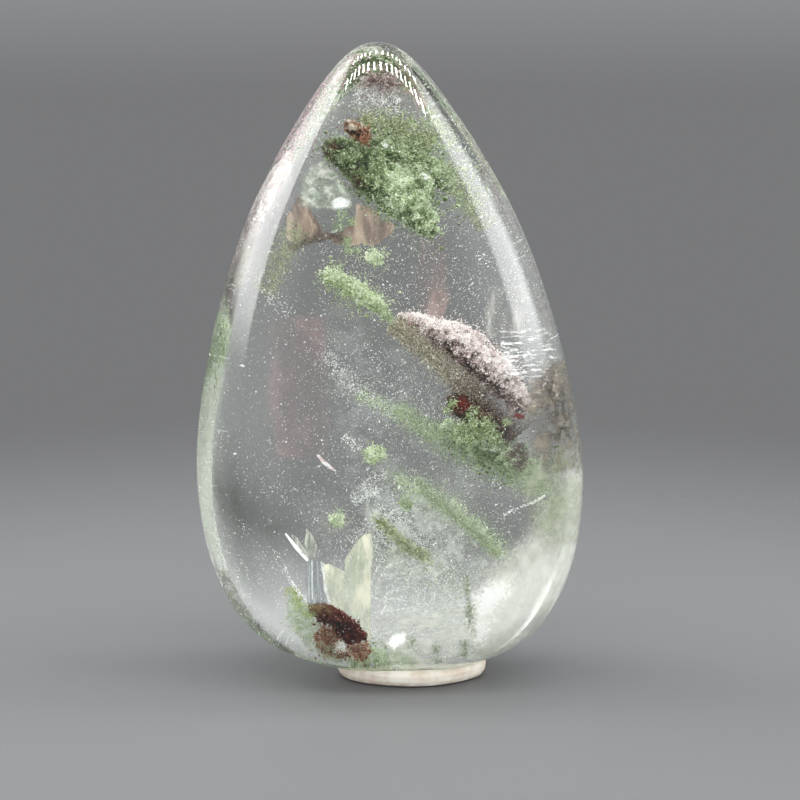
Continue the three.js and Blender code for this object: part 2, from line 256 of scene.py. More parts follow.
def newLamp(name, at, aim, along, size, bright):  # its longer side runs along
    light = bpy.data.lights.new(name, "AREA")
    light.shape = "RECTANGLE"
    light.size, light.size_y = size[0] * mm, size[1] * mm
    light.energy = math.pi * bright * light.size * light.size_y
    back = (Vector(at) - Vector(aim)).normalized()
    up = (Vector(along) - back * back.dot(Vector(along))).normalized()
    holder = bpy.data.objects.new(name, light)
    holder.location = Vector(at) * mm
    holder.rotation_euler = Matrix((up.cross(back), up, back)).transposed().to_euler()
    holder.visible_camera = False
    bpy.context.scene.collection.objects.link(holder)
    return holder


def makeBoxes():
    for box in studio["boxes"]:
        turn = math.radians(box["turn"])
        low, high = box["heights"]
        at = (box["away"] * math.sin(turn), box["away"] * math.cos(turn), (low + high) / 2)
        size = (box["wide"], high - low)
        holder = newLamp(box["name"], at, (0, 0, at[2]), (0, 0, 1), size, box["bright"])
        holder.visible_glossy = box["mirrored"]
        light = holder.data
        light.use_nodes = True
        shader = Shader(light.node_tree)
        where = shader.add("NewGeometry", output=5)
        across, up = shader.axis(where, 0), shader.axis(where, 1)
        front, back = (1 - across, across) if box["turn"] < 0 else (across, 1 - across)
        sides = front.above(0.0, box["soft"][0]) * back.above(0.0, box["soft"][1])
        ends = up.above(0.0, studio["boxEnds"][0]) * (1 - up).above(0.0, studio["boxEnds"][1])
        shader.add("OutputLight", {}, {0: shader.add("Emission", {}, {1: ends * sides})})


def makeRows():
    height, aim = studio["lampHeight"], studio["lampAim"]
    for number, row in enumerate(studio["rows"]):
        for i in range(row["lamps"]):
            left, right = row["across"]
            across = left + (right - left) * i / (row["lamps"] - 1)
            at = Vector((across * height, -row["forward"] * height, aim + height))
            name = "rowLamp" + str(number) + "_" + str(i)
            holder = newLamp(name, at, (0, 0, aim), (0, 1, 0), row["size"], row["bright"])
            holder.visible_transmission = False


def makeRoom():
    world = bpy.data.worlds.new("room")
    world.use_nodes = True
    bpy.context.scene.world = world
    shader = Shader(world.node_tree)
    way = shader.add("TexCoord")
    across, forward, height = shader.axis(way, 0), -1 * shader.axis(way, 1), shader.axis(way, 2)
    stops = [(at, tuple(level * part for part in studio["roomTint"])) for at, level in studio["roomBack"]]
    back = shader.add("ValToRGB", {"stops": stops}, {0: height * 0.5 + 0.5})
    corner = studio["roomCorner"]
    low = 1 - height.above(*corner["height"])
    back = shader.blend(across.above(*corner["right"]) * low * corner["darker"], back, (0.0, 0.0, 0.0))
    sideways = shader.add("Math", {"operation": "ABSOLUTE"}, {0: across}).above(*studio["roomSideways"])
    front = shader.blend(sideways, (studio["roomFront"],) * 3, (studio["roomSides"],) * 3)
    turned = forward.above(*studio["roomForward"]) * height.above(*studio["roomRise"])
    room = shader.blend(turned, back, front)
    shader.add("OutputWorld", {}, {0: shader.add("Background", {}, {0: room})})


makeFloor()
makeBoxes()
makeRows()
makeRoom()
print("studio ready")

# the drop's outline, in mm
drop = {
    "foot": 0.6,
    "tip": 59.8,
    # half its width at heights between, and how round it ends
    "halfWidths": [(5, 13.9), (14, 17.7), (26, 17.55), (39, 14.3), (51, 8.6)],
    "tipRadius": 3.5,
    "footRadius": 37,
    "middle": 0.55,  # where its middle is along x at the floor, and how far that moves for each mm up
    "lean": -0.0285,
    "thickness": 0.61,  # depth as a share of width, how much it gains towards the tip
    "tipGain": 0.24,
    "roundness": 0.55,  # 1 is an oval in plan, less is flatter in front and behind
    "rings": 126,
    "sides": 170,
}
dropHeight = drop["tip"] - drop["foot"]


def widthFactor(share):
    knots = [(0, math.sqrt(2 * drop["footRadius"] * dropHeight))]
    for height, half in drop["halfWidths"]:
        at = (height - drop["foot"]) / dropHeight
        knots.append((at, half / math.sqrt(at * (1 - at))))
    knots.append((1, math.sqrt(2 * drop["tipRadius"] * dropHeight)))
    total = 0
    for i, (at, value) in enumerate(knots):
        for j, (other, _) in enumerate(knots):
            if i != j:
                value = value * (share - other) / (at - other)
        total = total + value
    return total


def dropSection(z):  # middle, half-width and half-depth of the drop at heights z, in mm
    share = np.clip((np.asarray(z, float) - drop["foot"]) / dropHeight, 0, 1)
    halfWidth = np.sqrt(share * (1 - share)) * widthFactor(share)
    halfDepth = halfWidth * (drop["thickness"] + drop["tipGain"] * share**3)
    return drop["middle"] + drop["lean"] * np.asarray(z, float), halfWidth, halfDepth


def depthIn(points, margin=0.0):  # under 1 inside the drop's skin, or in a skin this far under it in mm
    middle, halfWidth, halfDepth = dropSection(points[:, 2])
    across = (points[:, 0] - middle) / np.maximum(halfWidth - margin, 0.01)
    deep = points[:, 1] / np.maximum(halfDepth - margin, 0.01)
    roundness = drop["roundness"]
    capped = (points[:, 2] > drop["foot"] + margin) & (points[:, 2] < drop["tip"] - margin)
    return np.where(capped, deep**2 + roundness * across**2 + (1 - roundness) * across**4, 2.0)


def skinShare(across):  # how deep the drop is this far to its side, as a share of its depth in the middle
    roundness = drop["roundness"]
    return np.sqrt(np.clip(1 - roundness * across**2 - (1 - roundness) * across**4, 0, 1))


def ringFaces(rings, sides):  # triangles of a closed skin: rings of points, then its low and its high pole
    low, high = rings * sides, rings * sides + 1
    faces = []
    for side in range(sides):
        after = (side + 1) % sides
        faces.append((low, after, side))
        faces.append(((rings - 1) * sides + side, (rings - 1) * sides + after, high))
        for ring in range(rings - 1):
            a, b = ring * sides + side, ring * sides + after
            faces += [(a, b, b + sides), (a, b + sides, a + sides)]
    return faces


def dropMesh():
    rings, sides = drop["rings"] - 1, drop["sides"]
    rise = np.repeat(np.arange(1, rings + 1) / (rings + 1) * math.pi, sides)
    turn = np.tile(np.arange(sides) / sides * 2 * math.pi, rings)
    z = drop["foot"] + dropHeight * (1 - np.cos(rise)) / 2
    middle, halfWidth, halfDepth = dropSection(z)
    flatten = np.sqrt(1 + (1 - drop["roundness"]) * np.cos(turn) ** 2)
    skin = np.stack([middle + halfWidth * np.cos(turn), halfDepth * np.sin(turn) * flatten, z], 1)
    poles = [[drop["middle"] + drop["lean"] * z, 0, z] for z in (drop["foot"], drop["tip"])]
    return np.vstack([skin, poles]), ringFaces(rings, sides)


quartz = {
    "colour": (0.985, 0.995, 0.98),
    "absorb": (0.84, 0.92, 0.84),
    "density": 9.0,
    "index": 1.544,
    "ripple": 9.0,
    "rippleDepth": 0.008,
}


def quartzMaterial():
    material, shader = newMaterial("clearQuartz")
    glass = shader.add("BsdfPrincipled", {}, {
        "Base Color": quartz["colour"],
        "Roughness": 0.0,
        "IOR": quartz["index"],
        "Transmission Weight": 1.0,
        "Normal": shader.bump(shader.grain(quartz["ripple"], 1.0), quartz["rippleDepth"], 1.0),
    })
    absorb = shader.add("VolumeAbsorption", {}, {"Color": quartz["absorb"], "Density": quartz["density"]})
    shader.surface(glass, absorb)
    return material


quartzDrop = newPiece("quartz_drop", *dropMesh(), quartzMaterial(), True)
finishPiece(quartzDrop, "quartz", "quartz_front", "quartz_back")
print("drop ready")

# grains: four-sided chips, each with its own size, turn and tone
fourSided = np.array([(1, 1, 1), (1, -1, -1), (-1, 1, -1), (-1, -1, 1)]) / math.sqrt(3)
chipFaces = np.array([(0, 2, 1), (0, 1, 3), (0, 3, 2), (1, 2, 3)])
knobReach = 0.72  # how far a knob reaches from its middle, as a share of its width


def turns(random, count):  # a random turn for each of count grains, as 3 by 3 arrays
    w, x, y, z = random.normal(size=(4, count))
    size = np.sqrt(w * w + x * x + y * y + z * z)
    w, x, y, z = w / size, x / size, y / size, z / size
    return np.stack([
        np.stack([1 - 2 * (y * y + z * z), 2 * (x * y - z * w), 2 * (x * z + y * w)], 1),
        np.stack([2 * (x * y + z * w), 1 - 2 * (x * x + z * z), 2 * (y * z - x * w)], 1),
        np.stack([2 * (x * z - y * w), 2 * (y * z + x * w), 1 - 2 * (x * x + y * y)], 1),
    ], 1)


def grainMesh(random, centres, sizes, squash):  # points and triangles, chip by chip
    shapes = fourSided[None] * random.uniform(*squash, (len(centres), 1, 3))
    chips = np.einsum("nij,nkj->nki", turns(random, len(centres)), shapes)
    points = chips * np.asarray(sizes)[:, None, None] + centres[:, None]
    faces = chipFaces[None] + (np.arange(len(centres)) * len(fourSided))[:, None, None]
    return points.reshape(-1, 3), faces.reshape(-1, 3)


def makeDust(random, name, points, sizes, squash, tones, palette="whiteDust", stain=None, slot="quartz"):
    made, faces = grainMesh(random, points, sizes, squash)
    written = {
        "tone": np.repeat(random.uniform(*tones, len(points)), len(fourSided)),
        "stain": np.full(len(made), 1.0 if stain else 0.0),
    }
    finishPiece(newPiece(name, made, faces, grainMaterial(palette, stain or "brown"), False, written), slot)


def makeFamily(family, usual, make, seed):  # each piece of it, with the usual values where it has none
    for number, (name, facts) in enumerate(family.items()):
        make(name, {**usual, **facts}, seed + number)


def softNoise(points, size, seed=0.0):  # smooth noise from about -1 to 1, with swellings this wide in mm
    shift = Vector((seed, seed * 0.7, -seed))
    return np.array([noise.noise(Vector(p) / size + shift) for p in points])


def lobes(points, size, seed):  # rounded knobs this wide in mm: 1 on top of each, 0 in the creases
    shift = Vector((seed, -seed, seed * 0.5))
    near = np.array([noise.voronoi(Vector(p) / size + shift)[0][0] for p in points])
    return np.sqrt(np.clip(1 - (near / knobReach) ** 2, 0, 1))


def smoothStep(low, high, value):
    share = np.clip((value - low) / (high - low), 0, 1)
    return share * share * (3 - 2 * share)


def smoothSolid(node, levels):  # a CAD solid's skin, rounded: points in mm, triangles, outward ways
    mesh = bmesh.new()
    mesh.from_mesh(frame["nodes"][node].data)
    bmesh.ops.remove_doubles(mesh, verts=mesh.verts, dist=0.001 * mm)
    data = bpy.data.meshes.new("rounding")
    mesh.to_mesh(data)
    mesh.free()
    holder = bpy.data.objects.new("rounding", data)
    bpy.context.scene.collection.objects.link(holder)
    holder.modifiers.new("rounding", "SUBSURF").levels = levels
    bpy.context.view_layer.update()
    made = holder.evaluated_get(bpy.context.evaluated_depsgraph_get()).to_mesh()
    made.calc_loop_triangles()
    points = np.empty(len(made.vertices) * 3)
    made.vertices.foreach_get("co", points)
    ways = np.empty(len(made.vertices) * 3)
    made.vertices.foreach_get("normal", ways)
    faces = np.empty(len(made.loop_triangles) * 3, np.int32)
    made.loop_triangles.foreach_get("vertices", faces)
    bpy.data.objects.remove(holder)
    bpy.data.meshes.remove(data)
    return points.reshape(-1, 3) / mm, faces.reshape(-1, 3), ways.reshape(-1, 3)


# colours of the minerals, their own colour in the middle, with painted shade in the deepest crease at the
# dark end and painted light on the lightest tip at the light end
palettes = {
    "chlorite": [(34, 46, 22), (98, 118, 70), (170, 190, 144), (238, 248, 226)],
    "paleChlorite": [(72, 90, 46), (138, 158, 100), (196, 212, 166), (244, 252, 230)],
    "greyChlorite": [(88, 104, 64), (146, 164, 120), (194, 208, 172), (244, 250, 234)],
    "olive": [(62, 72, 34), (116, 128, 76), (168, 180, 126), (236, 240, 214)],
    "clay": [(44, 30, 24), (132, 110, 104), (216, 200, 198), (255, 250, 250)],
    "limeDust": [(104, 120, 56), (156, 176, 104), (206, 222, 160), (246, 252, 220)],
    "iron": [(12, 6, 4), (56, 32, 22), (104, 70, 52), (190, 160, 136)],
    "ironRed": [(14, 5, 4), (60, 18, 12), (118, 40, 32), (196, 120, 100)],
    "rust": [(52, 26, 14), (142, 84, 54), (192, 138, 104), (238, 216, 196)],
    "ochre": [(40, 24, 12), (104, 66, 36), (166, 118, 76), (240, 228, 214)],
    "oliveDust": [(78, 84, 52), (128, 136, 92), (178, 188, 144), (230, 236, 210)],
    "greyGreenDust": [(116, 132, 98), (160, 178, 138), (196, 210, 178), (236, 244, 226)],
    "sandDust": [(92, 84, 66), (150, 142, 120), (204, 198, 178), (250, 248, 236)],
    "greenDust": [(98, 120, 72), (146, 168, 118), (190, 206, 166), (232, 240, 220)],
    "whiteDust": [(200, 204, 200), (232, 234, 232), (250, 252, 250), (255, 255, 255)],
    "brownDust": [(48, 38, 28), (92, 76, 62), (146, 130, 114), (210, 200, 188)],
    "pinkDust": [(126, 84, 96), (186, 142, 154), (220, 186, 194), (254, 240, 244)],
}
stains = {
    "red": (150, 26, 18),
    "brown": (86, 52, 38),
    "cream": (244, 236, 222),
    "olive": (120, 126, 58),
    "ochre": (176, 148, 104),
}
# painted glow: light that the grains of a mineral give off though they are no lamp, in place of the light
# they pass on to each other
paintedGlows = {
    "whiteDust": 0.22, "limeDust": 0.14, "pinkDust": 0.12, "clay": 0.1, "greenDust": 0.1,
    "greyGreenDust": 0.1, "paleChlorite": 0.08, "greyChlorite": 0.08, "oliveDust": 0.06, "sandDust": 0.06,
    "chlorite": 0.05,
}
mineral = {
    "stops": (0.0, 0.33, 0.68, 1.0),
    "speck": 0.1,
    "speckTone": 0.3,
    "rough": 0.72,
    "bump": (0.4, 0.05),
}
madeMaterials = {}


def grainMaterial(palette, stain):
    name = palette + "_" + stain
    if name in madeMaterials:
        return madeMaterials[name]
    material, shader = newMaterial(name)
    speck = shader.grain(mineral["speck"], 2.0)
    mix = shader.written("tone") + mineral["speckTone"] * (speck - 0.5)
    stops = [(place, paint(*tone)) for place, tone in zip(mineral["stops"], palettes[palette])]
    colour = shader.add("ValToRGB", {"stops": stops}, {0: mix})
    colour = shader.blend(shader.written("stain"), colour, paint(*stains[stain]))
    shader.surface(shader.add("BsdfPrincipled", {}, {
        "Base Color": colour,
        "Roughness": mineral["rough"],
        # painted glow in the grain's own colour
        "Emission Color": colour,
        "Emission Strength": paintedGlows.get(palette, 0.0),
        "Normal": shader.bump(speck, *mineral["bump"]),
    }))
    madeMaterials[name] = material
    return material


# growths, each on its CAD solid. lobes are the width and height of its knobs in mm, sunk how far its core
# is drawn in, knobs the count and radius of loose lumps, crust counts the grains on it and halo the loose
# ones round it, which stray this far; flakes are thin bright shards, flake their size, flakeTone their
# tone. depth is how dark the painted shade in its creases is, contrast how uneven its grains, shade how
# light it is in all; accents are places where it is lighter or darker, partly its own colour and partly
# painted shade in gaps and painted light on tops, and stained places have the stain's colour. A loose
# growth has no core: its crust is drawn in this deep, and gaps is how much of it is empty
usualGrowth = {
    "stain": "brown", "levels": 2, "sunk": 0, "loose": 0, "gaps": -0.12, "flake": (0.07, 0.16),
    "flakeTone": (0.4, 0.85), "depth": 0.85, "contrast": 0.2, "shade": 0, "accents": [], "stained": [],
}
growths = {
    "upper_chlorite_mass": {
        "palette": "chlorite", "lobes": [(1.5, 0.5), (0.62, 0.42), (0.3, 0.14)],
        "knobs": (380, 0.1, 0.27), "crust": 9500, "grain": (0.038, 0.09), "halo": 6000, "stray": 0.85,
        "flakes": 900, "depth": 1.3, "contrast": 0.22,
        "accents": [((-4.4, 0.8, 49.1), 1.5, -0.3), ((-2.6, 0, 48.4), 2.4, -0.2),
            ((1.2, -1.5, 45.4), 2.2, 0.22), ((2.7, -0.3, 45.4), 0.9, -0.3),
            ((-1.2, -1.5, 45.6), 0.9, -0.2), ((-2.8, -1.4, 46.4), 1, -0.2)],
        "stained": [((-4.6, 0.4, 49.2), 1.1, 0.5), ((-3, -1.4, 46.6), 1.2, 0.5)],
    },
    "ochre_nodule": {
        "palette": "ochre", "stain": "cream", "levels": 3, "lobes": [(0.7, 0.34), (0.35, 0.18)],
        "knobs": (34, 0.08, 0.22), "crust": 760, "grain": (0.04, 0.1), "halo": 260, "stray": 0.4,
        "flakes": 60, "depth": 1.4,
        "accents": [((-2.9, -3.2, 51.2), 0.7, -0.3), ((-3.8, -3.2, 51.9), 0.5, -0.35),
            ((-2.2, -3.2, 51.6), 0.6, 0.12)],
        "stained": [((-3.3, -3.4, 52), 0.42, 1)],
    },
    "tip_clay_patch": {
        "palette": "clay", "lobes": [(0.8, 0.4), (0.35, 0.2)], "knobs": (40, 0.06, 0.16), "crust": 2200,
        "grain": (0.03, 0.07), "loose": 0.5, "halo": 1800, "stray": 1.3, "flakes": 40,
        "accents": [((-0.9, 0, 55.6), 3, -0.45)], "stained": [((-0.9, 0, 55.6), 2, 0.4)],
    },
    "left_chlorite_ledge": {
        "palette": "paleChlorite", "stain": "olive", "lobes": [(1.1, 0.45), (0.5, 0.34), (0.25, 0.12)],
        "knobs": (150, 0.07, 0.18), "crust": 5200, "grain": (0.035, 0.085), "loose": 0.55, "gaps": 0,
        "halo": 2600, "stray": 0.7, "flakes": 240, "depth": 1.3,
        "accents": [((-4.6, -1.2, 38), 1.2, -0.12), ((-2.2, -1, 36.4), 1, 0.15)],
        "stained": [((-0.6, -0.8, 35), 0.9, 0.4)],
    },
    "clay_ledge": {
        "palette": "clay", "stain": "red", "lobes": [(1.1, 0.36), (0.5, 0.26), (0.25, 0.12)],
        "knobs": (200, 0.06, 0.15), "crust": 11500, "grain": (0.04, 0.095), "halo": 3000, "stray": 0.4,
        "flakes": 1600, "flake": (0.08, 0.2), "depth": 1.5, "contrast": 0.32,
        "accents": [((3, -1.4, 32.7), 0.9, -0.3), ((4.4, -1.6, 31.4), 1.2, -0.4),
            ((6, -1.8, 29.9), 1.2, -0.4), ((7.6, -1.8, 28.4), 1.1, -0.45), ((9, -1.4, 26.8), 1.1, -0.4),
            ((5.2, -0.6, 33.8), 2, 0.14), ((8.6, -0.4, 30.2), 1.8, 0.14), ((3.4, -0.4, 34.4), 1.2, 0.2)],
        "stained": [((1.6, -0.5, 34), 0.8, 0.32)],
    },
    "iron_patch": {
        "palette": "iron", "stain": "red", "lobes": [(0.9, 0.36), (0.45, 0.24), (0.22, 0.1)],
        "knobs": (80, 0.06, 0.16), "crust": 5200, "grain": (0.03, 0.075), "halo": 3300, "stray": 1,
        "flakes": 900, "flake": (0.08, 0.2), "flakeTone": (-0.1, 0.45), "contrast": 0.3, "shade": -0.2,
        "accents": [((6, -3.2, 26.6), 1.4, -0.1), ((8, -3.2, 25.6), 0.9, 0.2)],
        "stained": [((6.2, -3.2, 26.8), 0.9, 0.5)],
    },
    "lower_chlorite_shelf": {
        "palette": "chlorite", "lobes": [(1.2, 0.5), (0.55, 0.36), (0.26, 0.12)],
        "knobs": (180, 0.07, 0.2), "crust": 8000, "grain": (0.03, 0.075), "loose": 0.7, "gaps": -0.06,
        "halo": 5000, "stray": 1.1, "flakes": 1100, "flake": (0.12, 0.3), "depth": 1.2, "contrast": 0.24,
        "accents": [((7.2, -0.8, 24), 1.4, 0.5), ((9.2, -0.6, 22.6), 0.9, 0.4),
            ((5.6, 0.4, 22.6), 1.3, -0.3), ((8.4, 0.4, 20.8), 1.6, -0.3)],
        "stained": [((10.6, 0.5, 20.6), 0.9, 0.45)],
    },
    "chlorite_tuft_upper": {
        "palette": "paleChlorite", "stain": "olive", "levels": 3, "lobes": [(0.8, 0.36), (0.4, 0.24)],
        "knobs": (30, 0.06, 0.14), "crust": 1000, "grain": (0.03, 0.065), "loose": 0.5, "gaps": -0.04,
        "halo": 600, "stray": 0.6, "flakes": 60, "depth": 1.3, "accents": [((-1.3, -3, 40.2), 1, 0.15)],
    },
    "chlorite_tuft_middle": {
        "palette": "paleChlorite", "stain": "olive", "levels": 3, "lobes": [(0.8, 0.36), (0.4, 0.24)],
        "knobs": (30, 0.06, 0.14), "crust": 1900, "grain": (0.03, 0.065), "loose": 0.6, "gaps": -0.04,
        "halo": 700, "stray": 0.5, "flakes": 90, "depth": 1.3, "accents": [((-1.3, -4.6, 22.6), 1, 0.12)],
    },
    "chlorite_tuft_lower": {
        "palette": "paleChlorite", "stain": "olive", "levels": 3, "lobes": [(0.7, 0.3), (0.35, 0.2)],
        "knobs": (24, 0.06, 0.14), "crust": 700, "grain": (0.03, 0.065), "loose": 0.5, "gaps": -0.04,
        "halo": 500, "stray": 0.6, "flakes": 60, "depth": 1.3, "accents": [((-4.6, -3.6, 16.2), 1, 0.15)],
    },
    "long_chlorite_streak": {
        "palette": "greyChlorite", "stain": "olive", "lobes": [(1.1, 0.45), (0.5, 0.3), (0.25, 0.12)],
        "knobs": (120, 0.04, 0.1), "crust": 7600, "grain": (0.025, 0.055), "loose": 0.85, "gaps": -0.02,
        "halo": 3800, "stray": 1, "flakes": 300, "depth": 1.2,
        "accents": [((2.3, -3.2, 19.2), 1.2, 0.15)],
    },
    "short_chlorite_streak": {
        "palette": "olive", "stain": "olive", "lobes": [(0.8, 0.34), (0.4, 0.24), (0.22, 0.1)],
        "knobs": (60, 0.06, 0.15), "crust": 3400, "grain": (0.03, 0.065), "loose": 0.45, "gaps": -0.04,
        "halo": 600, "stray": 0.35, "flakes": 300, "depth": 1.2,
    },
    "base_iron_clump": {
        "palette": "ironRed", "stain": "ochre", "lobes": [(0.85, 0.4), (0.42, 0.28), (0.22, 0.1)],
        "sunk": 0.04, "knobs": (90, 0.07, 0.17), "crust": 3800, "grain": (0.035, 0.085), "halo": 700,
        "stray": 0.35, "flakes": 900, "flake": (0.08, 0.2), "flakeTone": (0, 0.6), "contrast": 0.26,
        "shade": -0.1, "accents": [((-4.9, -4.4, 6.8), 1.4, -0.25), ((-5.8, -4.4, 8.4), 1, 0.2)],
        "stained": [((-6.6, -4.4, 8.7), 0.9, 0.7), ((-5.4, -4.6, 8.1), 0.8, 0.3)],
    },
    "base_rust_clump": {
        "palette": "rust", "lobes": [(0.8, 0.4), (0.4, 0.26), (0.22, 0.1)], "knobs": (70, 0.06, 0.15),
        "crust": 3000, "grain": (0.035, 0.08), "loose": 0.3, "halo": 700, "stray": 0.45, "flakes": 500,
        "flake": (0.08, 0.18), "flakeTone": (0.1, 0.7), "contrast": 0.26,
    },
    "base_chlorite_patch": {
        "palette": "chlorite", "stain": "olive", "lobes": [(0.9, 0.36), (0.45, 0.24), (0.22, 0.1)],
        "knobs": (50, 0.05, 0.13), "crust": 4200, "grain": (0.03, 0.07), "loose": 0.7, "halo": 2200,
        "stray": 0.8, "flakes": 200, "accents": [((-0.5, 0, 4.8), 2.5, 0.15)],
    },
}


def closeTo(points, spots):  # the sum of each spot's amount, which falls off round its place
    total = np.zeros(len(points))
    for place, reach, amount in spots:
        total += amount * np.exp(-((np.linalg.norm(points - np.array(place), axis=1) / reach) ** 2))
    return total


# what all growths share, in mm and in tones from 0, dark, to 1
growing = {
    "drawnIn": 0.66,  # the core, as a share of its knobs' height
    "paintedCoreShade": (0.2, 0.5, 0.14, 0.13, -0.06),  # painted light on wide, middle and fine knob tops and painted shade in their creases, painted top light facing up, everywhere
    "patches": (1.6, 0.12),  # lighter and darker ones: how wide, how much
    "lumpShape": (1, 0.85, 0.7),
    "lumpUneven": 0.2,
    "lumpShadeTones": (0.42, 0.24, 0.9, 0.35),  # everywhere, painted top light facing up, painted light where it stands out and painted shade in its dents, after the core's
    "stray": (0.55, 0.3),  # outwards and sideways, as shares of the growth's own
    "flocks": (0.8, 0.04),  # how wide, how empty between them
    "margin": 0.4,  # under the drop's skin
    "crumbs": (0.42, 0.14, 0.55),  # on the crust: how wide, how high, and how much painted light on their tops
    "crustUneven": (-0.03, 0.05),
    "crustTones": (0.3, 0.45, 0.37, 0.7, 0.22),  # middles of core and crumbs, everywhere, uneven, loose
    "haloTones": (0.3, 0.4, 0.14),  # everywhere, after the core's, lighter
    "looseFlocks": (0.6, 0.25),
    "flakeLift": 0.16,
    "flakeLeast": 0.3,  # flakes lie where the core is lighter than this
    "grainGains": (1.2, 0.9),  # size of a grain on the crust and of a loose one
    "grainShapes": ((0.5, 1.5), (0.5, 1.6)),  # least and most length of its corners
    "flakeShape": (0.12, 1.7),
    "blots": (0.35, 0.35),  # of the stain: how wide, how ragged
    "stain": (0.2, 0.5, 0.85),  # from where, to where, and how strong
}


def growthCore(node, facts, seed):  # points, triangles, outward ways, and tones with painted light on its knob tops and upward faces and painted shade in its creases
    points, faces, ways = smoothSolid(node, facts["levels"])
    heights = [lobes(points, size, seed) for size, _ in facts["lobes"]]
    rises = [rise for _, rise in facts["lobes"]]
    lift = sum(rise * height for rise, height in zip(rises, heights))
    lift = lift - growing["drawnIn"] * sum(rises) - facts["sunk"]
    wide, middle, fine, up, everywhere = growing["paintedCoreShade"]
    # painted light on knob tops and on faces that face up, painted shade in the creases
    tones = wide * heights[0] + middle * heights[1] ** 1.5 + fine * heights[-1]
    tones = tones + up * ways[:, 2] + everywhere
    return points + ways * lift[:, None], faces, ways, tones


def knobMesh(random, centres, sizes):  # lumpy balls, and a tone for each of their points, with painted light on their tops and bumps
    ball = bmesh.new()
    bmesh.ops.create_icosphere(ball, subdivisions=1, radius=1)
    shape = np.array([point.co[:] for point in ball.verts])
    shapeFaces = np.array([[point.index for point in face.verts] for face in ball.faces])
    ball.free()
    ways = np.einsum("nij,kj->nki", turns(random, len(centres)), shape * growing["lumpShape"])
    lumps = random.normal(0, growing["lumpUneven"], ways.shape[:2])
    points = ways * ((1 + lumps) * sizes[:, None])[..., None] + centres[:, None]
    faces = shapeFaces[None] + (np.arange(len(centres)) * len(shape))[:, None, None]
    everywhere, up, out, _ = growing["lumpShadeTones"]
    # painted light on the lumps' tops and where they stand out, painted shade in their dents
    tones = everywhere + up * ways[..., 2] + out * lumps
    return points.reshape(-1, 3), faces.reshape(-1, 3), tones


